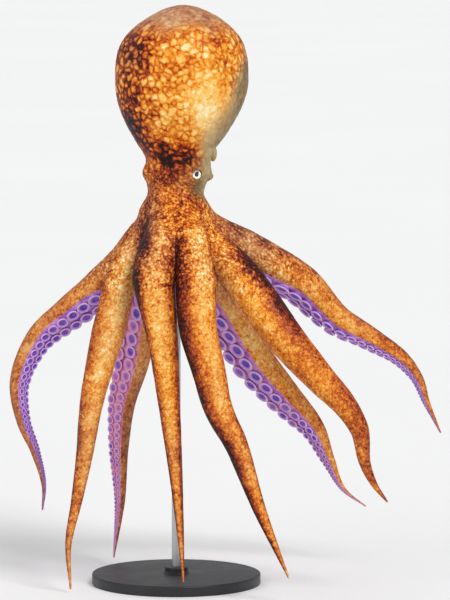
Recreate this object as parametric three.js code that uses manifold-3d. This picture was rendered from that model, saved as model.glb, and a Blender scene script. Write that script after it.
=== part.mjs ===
// A common octopus, life size, hanging with its eight arms spread below it, held by a plain display stand.
// Millimetres, +Z up. The front looks along -Y. The origin is under the middle of the stand's base.

import * as THREE from 'three';
import { mergeVertices } from 'three/addons/utils/BufferGeometryUtils.js';
import Module from 'manifold-3d';

const wasm = await Module();
wasm.setup();

// ---------------------------------------------------------------- driving dimensions

const CLEARANCE = 0.35; // between two pieces that touch

const STAND = { baseRadius: 95, baseHeight: 12, edge: 2, bossRadius: 13, bossHeight: 7, rodRadius: 5 };

// The back of the animal is turned to its right of the front, and its funnel side lies opposite.
const BACK_HEADING = -22;
const FUNNEL_HEADING = BACK_HEADING + 180;

// Body heights: mouth, neck, the rim of the mantle, its widest ring and its crown.
const MOUTH_Z = 402;
const NECK_Z = 437;
const RIM_Z = 492;
const BELLY_Z = 568;
const TOP_Z = 650;

const MANTLE = { rimRadius: 42, bellyRadius: 74.8, flatness: 0.87, rimDrop: 7, lean: 5.7, sides: 18 };
const HEAD = {
  centre: [3, 1], neckCentre: [0, 1], browRadius: 35.5, neckRadius: 32.5, flatness: 0.95, sides: 14,
};
const EYE = { radius: 8, out: 30, height: 464, socket: 13.3, spread: 60 };
const FUNNEL = {
  start: [21.5, 20.5, 490], end: [33.5, 33, 454], startRadius: 15, endRadius: 8.5,
  bore: 4.5, depth: 9, sides: 10,
};

const CROWN_REACH = 90; // how far each arm runs inside the crown
const WEB = { thickness: 4, from: 16, reach: 84, sag: 26, rows: 3, columns: 3 };
const BUCCAL = { topRadius: 33, waistRadius: 37, mouthRadius: 13, flatness: 0.92, sides: 14 };

const ARM = {
  rootWidth: 33,
  tipWidth: 2.2,
  // The section from edge to edge, as shares of the width: a flat sole for the suckers, and a rounded back.
  section: [[0.5, 0.02], [0.39, 0.29], [-0.39, 0.29], [-0.5, 0.02], [-0.43, -0.22], [-0.18, -0.45],
    [0.18, -0.45], [0.43, -0.22]],
  sole: 0.29,
  lengths: 3, // nodes along each arm after the crown
  rings: 7, // rings in each of those nodes
};
const SUCKER = { share: 0.3, offset: 0.2, stand: 0.08, seat: 0.06, step: 12.5, smallest: 31 };

// Each arm: its heading round the crown, its widest width and where that is, how it tapers from there, the
// way its sucker side faces once clear of the web, and the route of its centreline.
const ARMS = [
  {
    name: 'arm_right_1', heading: -29.5, width: 50, widest: 0.22, hold: 0.68, taper: 1, faces: [0.3, 0.95, 0],
    route: [[-3, -14, 425], [-16, -44, 392], [-23, -70, 350], [-17, -88, 309], [-11.5, -98, 269],
      [-7, -104, 221], [-1.5, -109, 166], [5, -109, 85], [9, -102, 19]],
  },
  {
    name: 'arm_left_1', heading: 15.5, width: 44, widest: 0.26, hold: 1.35, faces: [-0.2, 0.98, 0],
    route: [[7, -16, 426], [17, -50, 393], [22.5, -82, 346], [25.5, -104, 299], [36.5, -118, 258],
      [47.5, -127, 215], [67.5, -133, 175], [79.5, -137, 142], [93, -139, 104], [111, -138, 61],
      [124.5, -134, 29]],
  },
  {
    name: 'arm_left_2', heading: 60.5, width: 46, widest: 0.28, hold: 1.65, faces: [-0.25, 0.95, -0.15],
    route: [[16, -10, 417], [36, -26, 390], [64, -44, 361], [91, -62, 327], [123, -78, 285],
      [160, -89, 243], [187, -93, 214], [203, -95, 187], [209, -94, 151], [219, -92, 127], [234, -88, 106]],
  },
  {
    name: 'arm_left_3', heading: 105.5, width: 56, widest: 0.31, hold: 1.1, faces: [-0.48, -0.36, -0.8],
    route: [[20, 4, 417], [45, 10, 397.5], [73, 18, 379], [107, 26, 354], [141, 34, 332.5],
      [179.5, 40, 294], [218.5, 45, 271.5], [254.5, 49, 248], [273, 50, 225], [283, 50, 199], [299, 48, 165]],
  },
  {
    name: 'arm_left_4', heading: 150.5, width: 54, widest: 0.34, hold: 2.5, taper: 1.9,
    faces: [-0.68, -0.62, -0.39],
    route: [[9, 14, 415], [17, 45, 379], [32, 74, 337], [58.5, 98, 287.5], [90, 116, 234],
      [124, 126, 193.5], [156, 130, 158], [174, 132, 121], [191, 131, 88], [217, 128, 68]],
  },
  {
    name: 'arm_right_4', heading: 195.5, width: 51, widest: 0.26, hold: 1.25, faces: [-0.7, -0.7, 0],
    route: [[-9, 15, 415], [-18, 46, 378], [-30, 74, 336], [-44, 98, 288], [-51.5, 110, 238],
      [-63.5, 118, 191], [-67.5, 123, 134], [-66.5, 124, 76], [-73.5, 120, 10]],
  },
  {
    name: 'arm_right_3', heading: 240.5, width: 47, widest: 0.26, hold: 1.05, faces: [0.78, -0.55, 0.1],
    route: [[-16, 6, 415], [-36, 15, 395], [-57.5, 25, 360.5], [-83, 35, 332], [-121, 45, 301],
      [-156, 52, 270], [-178, 56, 221], [-174, 57, 177], [-161, 56, 143], [-151, 53, 104], [-152.5, 50, 76]],
  },
  {
    name: 'arm_right_2', heading: -74.5, width: 37, widest: 0.34, hold: 0.95, faces: [0.45, 0.9, 0],
    route: [[-15, -6, 415], [-37, -14, 388], [-57, -24, 358], [-70, -40, 308], [-81, -52, 265],
      [-93, -60, 213], [-101, -66, 155], [-109.5, -69, 105], [-119, -70, 55], [-117, -66, 5]],
  },
];

// ---------------------------------------------------------------- materials

const flesh = (color) => new THREE.MeshStandardMaterial({
  color, roughness: 0.42, metalness: 0, flatShading: true,
});
const COLOURS = { body: 0xc9781f, arm: 0xc06c22, armDark: 0xa8581e, funnel: 0xc9b58c };
const eyeFinish = new THREE.MeshStandardMaterial({ color: 0xe9e2cf, roughness: 0.08, metalness: 0 });
const baseFinish = new THREE.MeshStandardMaterial({ color: 0x2b2a29, roughness: 0.45, metalness: 0 });
const rodFinish = new THREE.MeshStandardMaterial({ color: 0xa8abae, roughness: 0.3, metalness: 1 });

// ---------------------------------------------------------------- geometry helpers

const smooth = (x) => THREE.MathUtils.smoothstep(x, 0, 1);
const mix = (a, b, t) => a + (b - a) * t;
const radians = THREE.MathUtils.degToRad;
const outward = (heading) => new THREE.Vector3(Math.sin(radians(heading)), -Math.cos(radians(heading)), 0);

// A closed solid over a row of rings with equal numbers of points, listed from one end to the other.
function loft(rings) {
  const sides = rings[0].length;
  const points = rings.flat();
  const index = [];
  const ends = [rings[0], rings.at(-1)].map((ring) => {
    const middle = ring.reduce((sum, p) => sum.add(p), new THREE.Vector3()).divideScalar(sides);
    return points.push(middle) - 1;
  });
  const last = (rings.length - 1) * sides;
  for (let k = 0; k < sides; k += 1) {
    const next = (k + 1) % sides;
    for (let row = 0; row < last; row += sides) {
      index.push(row + k, row + next, row + sides + next);
      index.push(row + k, row + sides + next, row + sides + k);
    }
    index.push(ends[0], next, k);
    index.push(ends[1], last + k, last + next);
  }
  const geometry = new THREE.BufferGeometry().setFromPoints(points);
  geometry.setIndex(index);
  return geometry;
}

function toSolid(geometry) {
  const bare = geometry.clone();
  bare.deleteAttribute('normal');
  bare.deleteAttribute('uv');
  const merged = mergeVertices(bare, 1e-4);
  const vertProperties = Float32Array.from(merged.attributes.position.array);
  const triVerts = Uint32Array.from(merged.index.array);
  return new wasm.Manifold(new wasm.Mesh({ numProp: 3, vertProperties, triVerts }));
}

function toGeometry(solid) {
  const mesh = solid.getMesh();
  const geometry = new THREE.BufferGeometry();
  geometry.setAttribute('position', new THREE.BufferAttribute(Float32Array.from(mesh.vertProperties), 3));
  geometry.setIndex(Array.from(mesh.triVerts));
  geometry.computeVertexNormals();
  return geometry;
}

const join = (solids) => solids.reduce((whole, solid) => whole.add(solid));

// A level ring with its own middle, half width and half depth, sheared down towards the funnel side by drop.
function levelRing(middle, z, width, depth, sides, drop = 0) {
  const low = outward(FUNNEL_HEADING);
  return Array.from({ length: sides }, (_, k) => {
    const turn = (2 * Math.PI * k) / sides;
    const point = new THREE.Vector3(width * Math.cos(turn), depth * Math.sin(turn), 0);
    point.z = z - (drop * point.dot(low)) / width;
    point.x += middle[0];
    point.y += middle[1];
    return point;
  });
}

// ---------------------------------------------------------------- mantle, head, eyes and funnel

// A pear: from the rim it swells to the belly on an easing curve, and closes over the top on a rounded dome.
function mantleRadius(z) {
  if (z < BELLY_Z) {
    const rise = (z - RIM_Z) / (BELLY_Z - RIM_Z);
    return mix(MANTLE.rimRadius, MANTLE.bellyRadius, Math.sin((rise * Math.PI) / 2) ** 0.88);
  }
  const rise = (z - BELLY_Z) / (TOP_Z - BELLY_Z);
  return MANTLE.bellyRadius * (1 - rise ** 3) ** 0.75;
}

function makeMantle() {
  const heights = [0, 14, 30, 47, 64, 82, 100, 117, 132, 144, 152, 156.4].map((h) => RIM_Z + h);
  const rings = heights.map((z) => {
    const radius = mantleRadius(z);
    const rise = smooth((z - RIM_Z) / (BELLY_Z - RIM_Z));
    const middle = [1 + MANTLE.lean * rise, 0];
    const depth = radius * mix(HEAD.flatness, MANTLE.flatness, rise);
    return levelRing(middle, z, radius, depth, MANTLE.sides, MANTLE.rimDrop * (1 - rise));
  });
  return toSolid(loft(rings));
}

function eyeCentre(side) {
  const reach = outward(BACK_HEADING + side * EYE.spread).multiplyScalar(EYE.out);
  return reach.add(new THREE.Vector3(HEAD.centre[0], HEAD.centre[1], EYE.height));
}

function ball(centre, radius, across, up) {
  const geometry = new THREE.SphereGeometry(radius, across, up);
  geometry.translate(centre.x, centre.y, centre.z);
  return toSolid(geometry);
}

// The head's rings stand between the mantle's rim and the neck; a low mound surrounds each eye.
function makeHead() {
  const stages = [
    [NECK_Z, HEAD.neckRadius + 0.5, HEAD.neckCentre, 0],
    [NECK_Z + 8, HEAD.neckRadius, HEAD.neckCentre, 0],
    [NECK_Z + 22, HEAD.browRadius - 1, HEAD.centre, 0.2],
    [NECK_Z + 37, HEAD.browRadius, HEAD.centre, 0.6],
    [RIM_Z - CLEARANCE, MANTLE.rimRadius - 3, HEAD.centre, 1],
  ];
  const rings = stages.map(([z, radius, middle, share]) => {
    const drop = MANTLE.rimDrop * share;
    return levelRing(middle, z, radius, radius * HEAD.flatness, HEAD.sides, drop);
  });
  return toSolid(loft(rings));
}

function makeFunnel(grow) {
  const path = new THREE.LineCurve3(new THREE.Vector3(...FUNNEL.start), new THREE.Vector3(...FUNNEL.end));
  const axis = path.getTangent(0);
  const side = new THREE.Vector3(0, 0, 1).cross(axis).normalize();
  const rise = axis.clone().cross(side);
  const ring = (t, radius) => Array.from({ length: FUNNEL.sides }, (_, k) => {
    const turn = (2 * Math.PI * k) / FUNNEL.sides;
    return path.getPoint(t)
      .addScaledVector(side, radius * Math.cos(turn))
      .addScaledVector(rise, radius * Math.sin(turn));
  });
  const width = (t) => mix(FUNNEL.startRadius, FUNNEL.endRadius, smooth(t)) + grow;
  const outer = toSolid(loft([-0.15, 0.15, 0.45, 0.75, 1].map((t) => ring(t, width(t)))));
  if (grow > 0) return outer;
  const hollow = 1 - FUNNEL.depth / path.getLength();
  return outer.subtract(toSolid(loft([ring(hollow, FUNNEL.bore * 0.7), ring(1.1, FUNNEL.bore)])));
}

// ---------------------------------------------------------------- arms

class Arm {
  constructor(plan) {
    this.plan = plan;
    const route = plan.route.map((p) => new THREE.Vector3(...p));
    this.curve = new THREE.CatmullRomCurve3(route, false, 'centripetal');
    this.length = this.curve.getLength();
    this.inward = outward(plan.heading).negate();
    this.faces = new THREE.Vector3(...plan.faces).normalize();
  }

  // Width at a share t of the length: it swells from the root, holds, and tapers to a fine tip.
  width(t) {
    const { width, widest, hold, taper = 1.1 } = this.plan;
    if (t < widest) return mix(ARM.rootWidth, width, smooth(t / widest));
    const rest = (t - widest) / (1 - widest);
    return ARM.tipWidth + (width - ARM.tipWidth) * (1 - rest ** hold) ** taper;
  }

  // The centre, the tangent, the way the suckers face and the way across, at a distance along the arm.
  frame(distance) {
    const t = THREE.MathUtils.clamp(distance / this.length, 0, 1);
    const tangent = this.curve.getTangentAt(t);
    const turned = smooth((distance - 25) / 90);
    const oral = this.inward.clone().lerp(this.faces, turned).normalize();
    oral.addScaledVector(tangent, -oral.dot(tangent)).normalize();
    const across = oral.clone().cross(tangent);
    return { centre: this.curve.getPointAt(t), tangent, oral, across, width: this.width(t) };
  }

  ring(distance) {
    const { centre, oral, across, width } = this.frame(distance);
    return ARM.section.map(([side, down]) => centre.clone()
      .addScaledVector(across, side * width)
      .addScaledVector(oral, down * width));
  }

  tube(from, to, rings) {
    const distances = Array.from({ length: rings }, (_, k) => mix(from, to, k / (rings - 1)));
    return toSolid(loft(distances.map((d) => this.ring(d))));
  }

  // The larger suckers, in two rows set half a pitch apart, each a low six-sided cup seated in the sole.
  suckers(from, to) {
    const cups = [];
    let distance = from + 8;
    for (let count = 0; distance < to - 8; count += 1) {
      const { centre, oral, across, width } = this.frame(distance);
      if (width < SUCKER.smallest) break;
      const radius = (SUCKER.share * width) / 2;
      const height = width * (SUCKER.stand + SUCKER.seat);
      const cup = new THREE.CylinderGeometry(radius, radius * 0.85, height, 6);
      cup.applyQuaternion(new THREE.Quaternion().setFromUnitVectors(new THREE.Vector3(0, 1, 0), oral));
      const row = count % 2 ? 1 : -1;
      const seat = centre.clone()
        .addScaledVector(across, row * SUCKER.offset * width)
        .addScaledVector(oral, (ARM.sole + SUCKER.stand) * width - height / 2);
      cup.translate(seat.x, seat.y, seat.z);
      cups.push(toSolid(cup));
      distance += SUCKER.step;
    }
    return cups;
  }

  // The free arm in a few lengths, from the edge of the crown to the tip.
  pieces() {
    const start = CROWN_REACH + CLEARANCE;
    const step = (this.length - start) / ARM.lengths;
    return Array.from({ length: ARM.lengths }, (_, k) => {
      const from = start + k * step;
      const to = k === ARM.lengths - 1 ? this.length : from + step - CLEARANCE;
      return join([this.tube(from, to, ARM.rings), ...this.suckers(from, to)]);
    });
  }
}

// ---------------------------------------------------------------- crown: arm roots, web and mouth

// A web of skin between two neighbouring arms, with a hollowed margin.
function makeWeb(a, b) {
  const middle = outward(a.plan.heading).add(outward(b.plan.heading)).normalize();
  const face = (offset) => Array.from({ length: WEB.rows }, (_, row) =>
    Array.from({ length: WEB.columns + 1 }, (_, column) => {
      const c = column / WEB.columns;
      const reach = WEB.reach - WEB.sag * 4 * c * (1 - c);
      const distance = mix(WEB.from, reach, row / (WEB.rows - 1));
      const point = a.frame(distance).centre.lerp(b.frame(distance).centre, c);
      return point.addScaledVector(middle, offset);
    }));
  const front = face(WEB.thickness / 2);
  const back = face(-WEB.thickness / 2);
  return toSolid(loft(back.map((row, k) => [...row, ...front[k].reverse()])));
}

function makeCrown(arms) {
  const stages = [
    [MOUTH_Z, BUCCAL.mouthRadius],
    [MOUTH_Z + 9, BUCCAL.waistRadius - 10],
    [MOUTH_Z + 20, BUCCAL.waistRadius - 2],
    [NECK_Z - CLEARANCE, BUCCAL.topRadius],
  ];
  const core = stages.map(([z, radius]) =>
    levelRing(HEAD.neckCentre, z, radius, radius * BUCCAL.flatness, BUCCAL.sides));
  const roots = arms.map((arm) => arm.tube(0, CROWN_REACH, 4));
  const webs = arms.map((arm, k) => makeWeb(arm, arms[(k + 1) % arms.length]));
  const above = new THREE.BoxGeometry(200, 200, 60);
  above.translate(0, 0, NECK_Z - CLEARANCE + 30);
  return join([toSolid(loft(core)), ...roots, ...webs]).subtract(toSolid(above));
}

// ---------------------------------------------------------------- display stand

function makeBase() {
  const { baseRadius: r, baseHeight: h, edge, bossRadius, bossHeight } = STAND;
  const outline = [[0, 0], [r - edge, 0], [r, edge], [r, h - edge], [r - edge, h], [bossRadius, h],
    [bossRadius - edge, h + bossHeight], [0, h + bossHeight]];
  const geometry = new THREE.LatheGeometry(outline.map(([x, y]) => new THREE.Vector2(x, y)), 26);
  return geometry.rotateX(Math.PI / 2);
}

function makeRod() {
  const foot = STAND.baseHeight + STAND.bossHeight + CLEARANCE;
  const head = MOUTH_Z - CLEARANCE;
  const geometry = new THREE.CylinderGeometry(STAND.rodRadius, STAND.rodRadius, head - foot, 12);
  return geometry.rotateX(Math.PI / 2).translate(0, 0, (head + foot) / 2);
}

// ---------------------------------------------------------------- assembly

const octopus = new THREE.Group();
octopus.name = 'octopus_on_stand';

function place(name, geometry, material) {
  const mesh = new THREE.Mesh(geometry, material);
  mesh.name = name;
  octopus.add(mesh);
}

const arms = ARMS.map((plan) => new Arm(plan));
const mantle = makeMantle();
const eyes = [['eye_left', 1], ['eye_right', -1]].map(([name, side]) => ({ name, centre: eyeCentre(side) }));

let head = makeHead();
for (const { centre } of eyes) {
  const root = new THREE.Vector3(...HEAD.centre, EYE.height);
  head = head.add(ball(centre.clone().lerp(root, 0.22), EYE.socket, 10, 6));
}
for (const { centre } of eyes) head = head.subtract(ball(centre, EYE.radius + CLEARANCE, 9, 6));
const lowered = toSolid(toGeometry(mantle).translate(0, 0, -CLEARANCE));
head = head.subtract(makeFunnel(CLEARANCE)).subtract(lowered);
const funnel = makeFunnel(0).subtract(lowered);

place('mantle', toGeometry(mantle), flesh(COLOURS.body));
place('head', toGeometry(head), flesh(COLOURS.body));
place('funnel', toGeometry(funnel), flesh(COLOURS.funnel));
for (const { name, centre } of eyes) place(name, toGeometry(ball(centre, EYE.radius, 9, 6)), eyeFinish);
place('crown', toGeometry(makeCrown(arms)), flesh(COLOURS.arm));
for (const arm of arms) {
  arm.pieces().forEach((piece, k) => {
    place(`${arm.plan.name}_${'abc'[k]}`, toGeometry(piece), flesh(k % 2 ? COLOURS.arm : COLOURS.armDark));
  });
}
place('stand_base', makeBase(), baseFinish);
place('stand_rod', makeRod(), rodFinish);

export default octopus;
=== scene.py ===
"""A life-size common octopus hanging above a display stand.

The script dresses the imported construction: one skin over the whole animal, its suckers, its eyes and the
stand, with a plain floor, soft light and a camera. Forms are worked out in millimetres and become meshes in
metres.
"""

import logging
import math
from dataclasses import dataclass, field
from enum import Enum

import bmesh
import bpy
import numpy as np
import openvdb
from mathutils import Matrix, Vector
from mathutils.bvhtree import BVHTree


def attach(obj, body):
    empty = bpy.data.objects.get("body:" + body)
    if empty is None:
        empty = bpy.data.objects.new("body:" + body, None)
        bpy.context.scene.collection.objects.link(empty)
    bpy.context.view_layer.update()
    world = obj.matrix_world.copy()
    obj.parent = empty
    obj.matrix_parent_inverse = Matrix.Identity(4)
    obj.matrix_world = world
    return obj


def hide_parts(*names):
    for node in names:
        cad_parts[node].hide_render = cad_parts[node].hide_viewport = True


logging.basicConfig(level=logging.INFO, format="%(message)s")
LOG = logging.getLogger("octopus")

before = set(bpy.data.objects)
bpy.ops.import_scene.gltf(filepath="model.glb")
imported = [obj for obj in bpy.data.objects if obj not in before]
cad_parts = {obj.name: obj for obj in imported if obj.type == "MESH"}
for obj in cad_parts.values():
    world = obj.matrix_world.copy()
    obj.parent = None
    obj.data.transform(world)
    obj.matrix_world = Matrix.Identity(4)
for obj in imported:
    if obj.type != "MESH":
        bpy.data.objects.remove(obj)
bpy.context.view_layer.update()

Array = np.ndarray
MM = 0.001

# Constants of the scattered numbers that the noises draw on.
WORD = 0xFFFFFFFF
FRACTION = 0xFFFFFF
LATTICE_PRIMES = np.array([73856093, 19349663, 83492791])
NOISE_STEP = 2654435761
CELL_STEP = 7919
AXIS_STEP = 374761393


# ---- small mathematics


def ease(x: Array) -> Array:
    """Smooth step from 0 to 1."""
    x = np.clip(x, 0.0, 1.0)
    return x * x * (3.0 - 2.0 * x)


def mix(a: Array, b: Array, t: Array) -> Array:
    """Linear blend from a to b."""
    return a + (b - a) * t


def smooth_min(a: Array, b: Array, radius: Array) -> Array:
    """Joins two distance fields with a fillet of about the given radius."""
    overlap = np.clip(radius - np.abs(a - b), 0.0, None)
    return np.minimum(a, b) - overlap * overlap / (4.0 * radius)


def smooth_max(a: Array, b: Array, radius: Array) -> Array:
    """Keeps what two distance fields share, with a rounded edge."""
    return -smooth_min(-a, -b, radius)


def outward(heading: float) -> Array:
    """Level unit vector at a heading in degrees, from the front of the stand towards the animal's left."""
    turn = math.radians(heading)
    return np.array([math.sin(turn), -math.cos(turn), 0.0])


def unit(vectors: Array) -> Array:
    """Vectors scaled to length one."""
    return vectors / np.maximum(np.linalg.norm(vectors, axis=-1, keepdims=True), 1e-12)


def scramble(key: Array) -> Array:
    """Turns whole numbers into evenly scattered values from 0 to 1.

    Args:
        key: whole numbers, one for each value.

    Returns:
        The values, always the same for the same key.
    """
    mixed = key & WORD
    mixed = ((mixed ^ (mixed >> 15)) * 2246822519) & WORD
    mixed = ((mixed ^ (mixed >> 13)) * 3266489917) & WORD
    return ((mixed ^ (mixed >> 16)) & FRACTION) / float(FRACTION)


def lattice_noise(points: Array, seed: int) -> Array:
    """Smooth noise between -1 and 1 on a unit lattice.

    Args:
        points: positions, one row each.
        seed: picks the pattern.

    Returns:
        One value for each point.
    """
    cell = np.floor(points).astype(np.int64)
    part = points - cell
    part = part * part * part * (part * (part * 6.0 - 15.0) + 10.0)
    total = np.zeros(len(points))
    for corner in np.ndindex(2, 2, 2):
        key = (cell + corner) * LATTICE_PRIMES + seed * NOISE_STEP
        value = scramble(np.bitwise_xor.reduce(key, axis=1)) * 2.0 - 1.0
        weight = np.prod(np.where(np.array(corner) == 1, part, 1.0 - part), axis=1)
        total += value * weight
    return total


def fractal_noise(points: Array, size: float, seed: int, octaves: int = 3) -> Array:
    """Sum of lattice noises, each half the size and half the strength of the one before.

    Args:
        points: positions, one row each.
        size: width of the largest features.
        seed: picks the pattern.
        octaves: how many noises are added up.

    Returns:
        One value for each point, about -1 to 1.
    """
    total = np.zeros(len(points))
    for octave in range(octaves):
        total += lattice_noise(points * (2.0 ** octave / size), seed + octave) * 0.5 ** octave
    return total / (2.0 - 0.5 ** (octaves - 1))


# ---- the animal's plan, in millimetres

BACK_HEADING = -22.0
FUNNEL_HEADING = BACK_HEADING + 180.0
MOUTH_Z = 402.0
NECK_Z = 437.0
RIM_Z = 492.0
TRUNK_TOP_Z = 512.0
BELLY_Z = 568.0
TOP_Z = 652.6
RIM_RADIUS = 42.0
BELLY_RADIUS = 74.8


@dataclass(frozen=True)
class ArmPlan:
    """Where one arm goes and how thick it is.

    The route's points are those of the construction; widths swell to the widest place and taper to the tip.
    The highlight and shade turns say where round the section, in degrees, the lightest and the most shaded
    tone of the back lie: partly the arm's own paler ridge and darker edges, and partly a painted highlight on
    the side that faces the light and painted shade on the side away from it. Shade is their depth, and pink
    is the tint of the sucker side.
    """

    name: str
    heading: float
    width: float
    widest: float
    hold: float
    faces: tuple[float, float, float]
    route: tuple[tuple[float, float, float], ...]
    painted_highlight_turn: float = -90.0
    painted_shade_turn: float = 0.0
    shade: float = 0.3
    pink: float = 0.15
    taper: float = 1.1


ARM_PLANS = (
    ArmPlan("right_1", -29.5, 50, 0.22, 0.68, (0.3, 0.95, 0), (
        (-3, -14, 425), (-16, -44, 392), (-23, -70, 350), (-17, -88, 309), (-11.5, -98, 269),
        (-7, -104, 221), (-1.5, -109, 166), (5, -109, 85), (9, -102, 19)),
            -98, 8, 0.56, 0.35, 1.0),
    ArmPlan("left_1", 15.5, 44, 0.26, 1.35, (-0.2, 0.98, 0), (
        (7, -16, 426), (17, -50, 393), (22.5, -82, 346), (25.5, -104, 299), (36.5, -118, 258),
        (47.5, -127, 215), (67.5, -133, 175), (79.5, -137, 142), (93, -139, 104), (111, -138, 61),
        (124.5, -134, 29)),
            -102, 5, 0.52, 0.35),
    ArmPlan("left_2", 60.5, 46, 0.28, 1.65, (-0.25, 0.95, -0.15), (
        (16, -10, 417), (36, -26, 390), (64, -44, 361), (91, -62, 327), (123, -78, 285),
        (160, -89, 243), (187, -93, 214), (203, -95, 187), (209, -94, 151), (219, -92, 127), (234, -88, 106)),
            -62, -150, 0.50, 0.35),
    ArmPlan("left_3", 105.5, 56, 0.31, 1.1, (-0.48, -0.36, -0.8), (
        (20, 4, 417), (45, 10, 397.5), (73, 18, 379), (107, 26, 354), (141, 34, 332.5),
        (179.5, 40, 294), (218.5, 45, 271.5), (254.5, 49, 248), (273, 50, 225), (283, 50, 199), (299, 48, 165)),
            8, -100, 0.22, 0.25),
    ArmPlan("left_4", 150.5, 54, 0.34, 2.5, (-0.68, -0.62, -0.39), (
        (9, 14, 415), (17, 45, 379), (32, 74, 337), (58.5, 98, 287.5), (90, 116, 234),
        (124, 126, 193.5), (156, 130, 158), (174, 132, 121), (191, 131, 88), (217, 128, 68)),
            0, -75, 0.24, 0.6, 1.9),
    ArmPlan("right_4", 195.5, 51, 0.26, 1.25, (-0.7, -0.7, 0), (
        (-9, 15, 415), (-18, 46, 378), (-30, 74, 336), (-44, 98, 288), (-51.5, 110, 238),
        (-63.5, 118, 191), (-67.5, 123, 134), (-66.5, 124, 76), (-73.5, 120, 10)),
            10, -75, 0.26, 1.0),
    ArmPlan("right_3", 240.5, 47, 0.26, 1.05, (0.78, -0.55, 0.1), (
        (-16, 6, 415), (-36, 15, 395), (-57.5, 25, 360.5), (-83, 35, 332), (-121, 45, 301),
        (-156, 52, 270), (-178, 56, 221), (-174, 57, 177), (-161, 56, 143), (-151, 53, 104), (-152.5, 50, 76)),
            172, -80, 0.30, 0.25),
    ArmPlan("right_2", -74.5, 37, 0.34, 0.95, (0.45, 0.9, 0), (
        (-15, -6, 415), (-37, -14, 388), (-57, -24, 358), (-70, -40, 308), (-81, -52, 265),
        (-93, -60, 213), (-101, -66, 155), (-109.5, -69, 105), (-119, -70, 55), (-117, -66, 5)),
            -135, -15, 0.34, 0.5),
)


# The arms' numbers, in the order of their plans.
RIGHT_1, LEFT_1, LEFT_2, LEFT_3, LEFT_4, RIGHT_4, RIGHT_3, RIGHT_2 = range(len(ARM_PLANS))


# ---- arms


class Arm:
    """One arm as a centreline with a frame and a section at every distance along it.

    The section's sizes are shares of the width: half across, the height of the back and the depth of the
    sole. The suckers face inwards at the root, and further out they roll to the plan's facing.
    """

    ROOT_WIDTH = 33.0
    TIP_WIDTH = 2.2
    HALF = 0.5
    BACK = 0.46
    SOLE = 0.29
    BACK_POWER = 2.1
    SOLE_POWER = 3.2
    TANGENT_REACH = 2.0
    ROLL_START = 25.0
    ROLL_LENGTH = 90.0

    def __init__(self, plan: ArmPlan) -> None:
        """Lays out the arm's centreline.

        Args:
            plan: the arm's route and widths.
        """
        self.plan = plan
        fine = self._curve(np.array(plan.route, float))
        steps = np.linalg.norm(np.diff(fine, axis=0), axis=1)
        self.arc = np.concatenate([[0.0], np.cumsum(steps)])
        self.length = float(self.arc[-1])
        self.fine = fine

    @staticmethod
    def _curve(points: Array, per_span: int = 60) -> Array:
        """Centripetal Catmull-Rom curve through the points.

        Args:
            points: the points on the route, one row each.
            per_span: places worked out between one point and the next.

        Returns:
            Closely spaced places on the curve.
        """
        ends = [2 * points[0] - points[1]], [2 * points[-1] - points[-2]]
        held = np.concatenate([ends[0], points, ends[1]])
        run = []
        for k in range(1, len(held) - 2):
            p0, p1, p2, p3 = held[k - 1:k + 3]
            gaps = [np.linalg.norm(b - a) ** 0.5 for a, b in ((p0, p1), (p1, p2), (p2, p3))]
            start = (p1 - p0) / gaps[0] - (p2 - p0) / (gaps[0] + gaps[1]) + (p2 - p1) / gaps[1]
            end = (p2 - p1) / gaps[1] - (p3 - p1) / (gaps[1] + gaps[2]) + (p3 - p2) / gaps[2]
            start, end = start * gaps[1], end * gaps[1]
            t = np.linspace(0, 1, per_span, endpoint=False)[:, None]
            cubic = 2 * p1 - 2 * p2 + start + end
            square = -3 * p1 + 3 * p2 - 2 * start - end
            run.append(p1 + start * t + square * t ** 2 + cubic * t ** 3)
        return np.concatenate(run + [points[-1:]])

    def centre(self, distance: Array) -> Array:
        """Points on the centreline."""
        return np.stack([np.interp(distance, self.arc, self.fine[:, i]) for i in range(3)], axis=-1)

    def width(self, distance: Array) -> Array:
        """Width across the arm.

        Args:
            distance: distances along the arm.

        Returns:
            A width for each distance.
        """
        plan = self.plan
        t = np.clip(np.asarray(distance, float) / self.length, 0.0, 1.0)
        swell = mix(self.ROOT_WIDTH, plan.width, ease(t / plan.widest))
        rest = np.clip((t - plan.widest) / (1.0 - plan.widest), 0.0, 1.0)
        taper = self.TIP_WIDTH + (plan.width - self.TIP_WIDTH) * (1.0 - rest ** plan.hold) ** plan.taper
        return np.where(t < plan.widest, swell, taper)

    def frame(self, distance: Array) -> tuple[Array, Array, Array, Array]:
        """Where the arm runs and how it is turned.

        Args:
            distance: distances along the arm.

        Returns:
            Centre, tangent, the way the suckers face and the way across, at each distance.
        """
        distance = np.asarray(distance, float)
        low = np.clip(distance - self.TANGENT_REACH, 0.0, self.length)
        high = np.clip(distance + self.TANGENT_REACH, 0.0, self.length)
        tangent = unit(self.centre(high) - self.centre(low))
        inward = -outward(self.plan.heading)
        faces = unit(np.array(self.plan.faces, float))
        rolled = ease((distance - self.ROLL_START) / self.ROLL_LENGTH)[..., None]
        oral = unit(mix(inward, faces, rolled))
        oral = unit(oral - tangent * np.sum(oral * tangent, axis=-1, keepdims=True))
        across = np.cross(oral, tangent)
        return self.centre(distance), tangent, oral, across

    def section(self, turn: Array) -> Array:
        """Shape of the arm's section: a full round back and a flatter sole.

        Args:
            turn: angles in radians, from across (0) by the sole (pi/2).

        Returns:
            The section's radius at each angle, as a share of the width.
        """
        x, y = np.abs(np.cos(turn)), np.sin(turn)

        def half(depth: float, power: float) -> Array:
            """One half of the section, a rounded oblong of that depth."""
            return ((x / self.HALF) ** power + (np.abs(y) / depth) ** power) ** (-1 / power)

        return np.where(y > 0, half(self.SOLE, self.SOLE_POWER), half(self.BACK, self.BACK_POWER))


# ---- the body as one distance field


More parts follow.
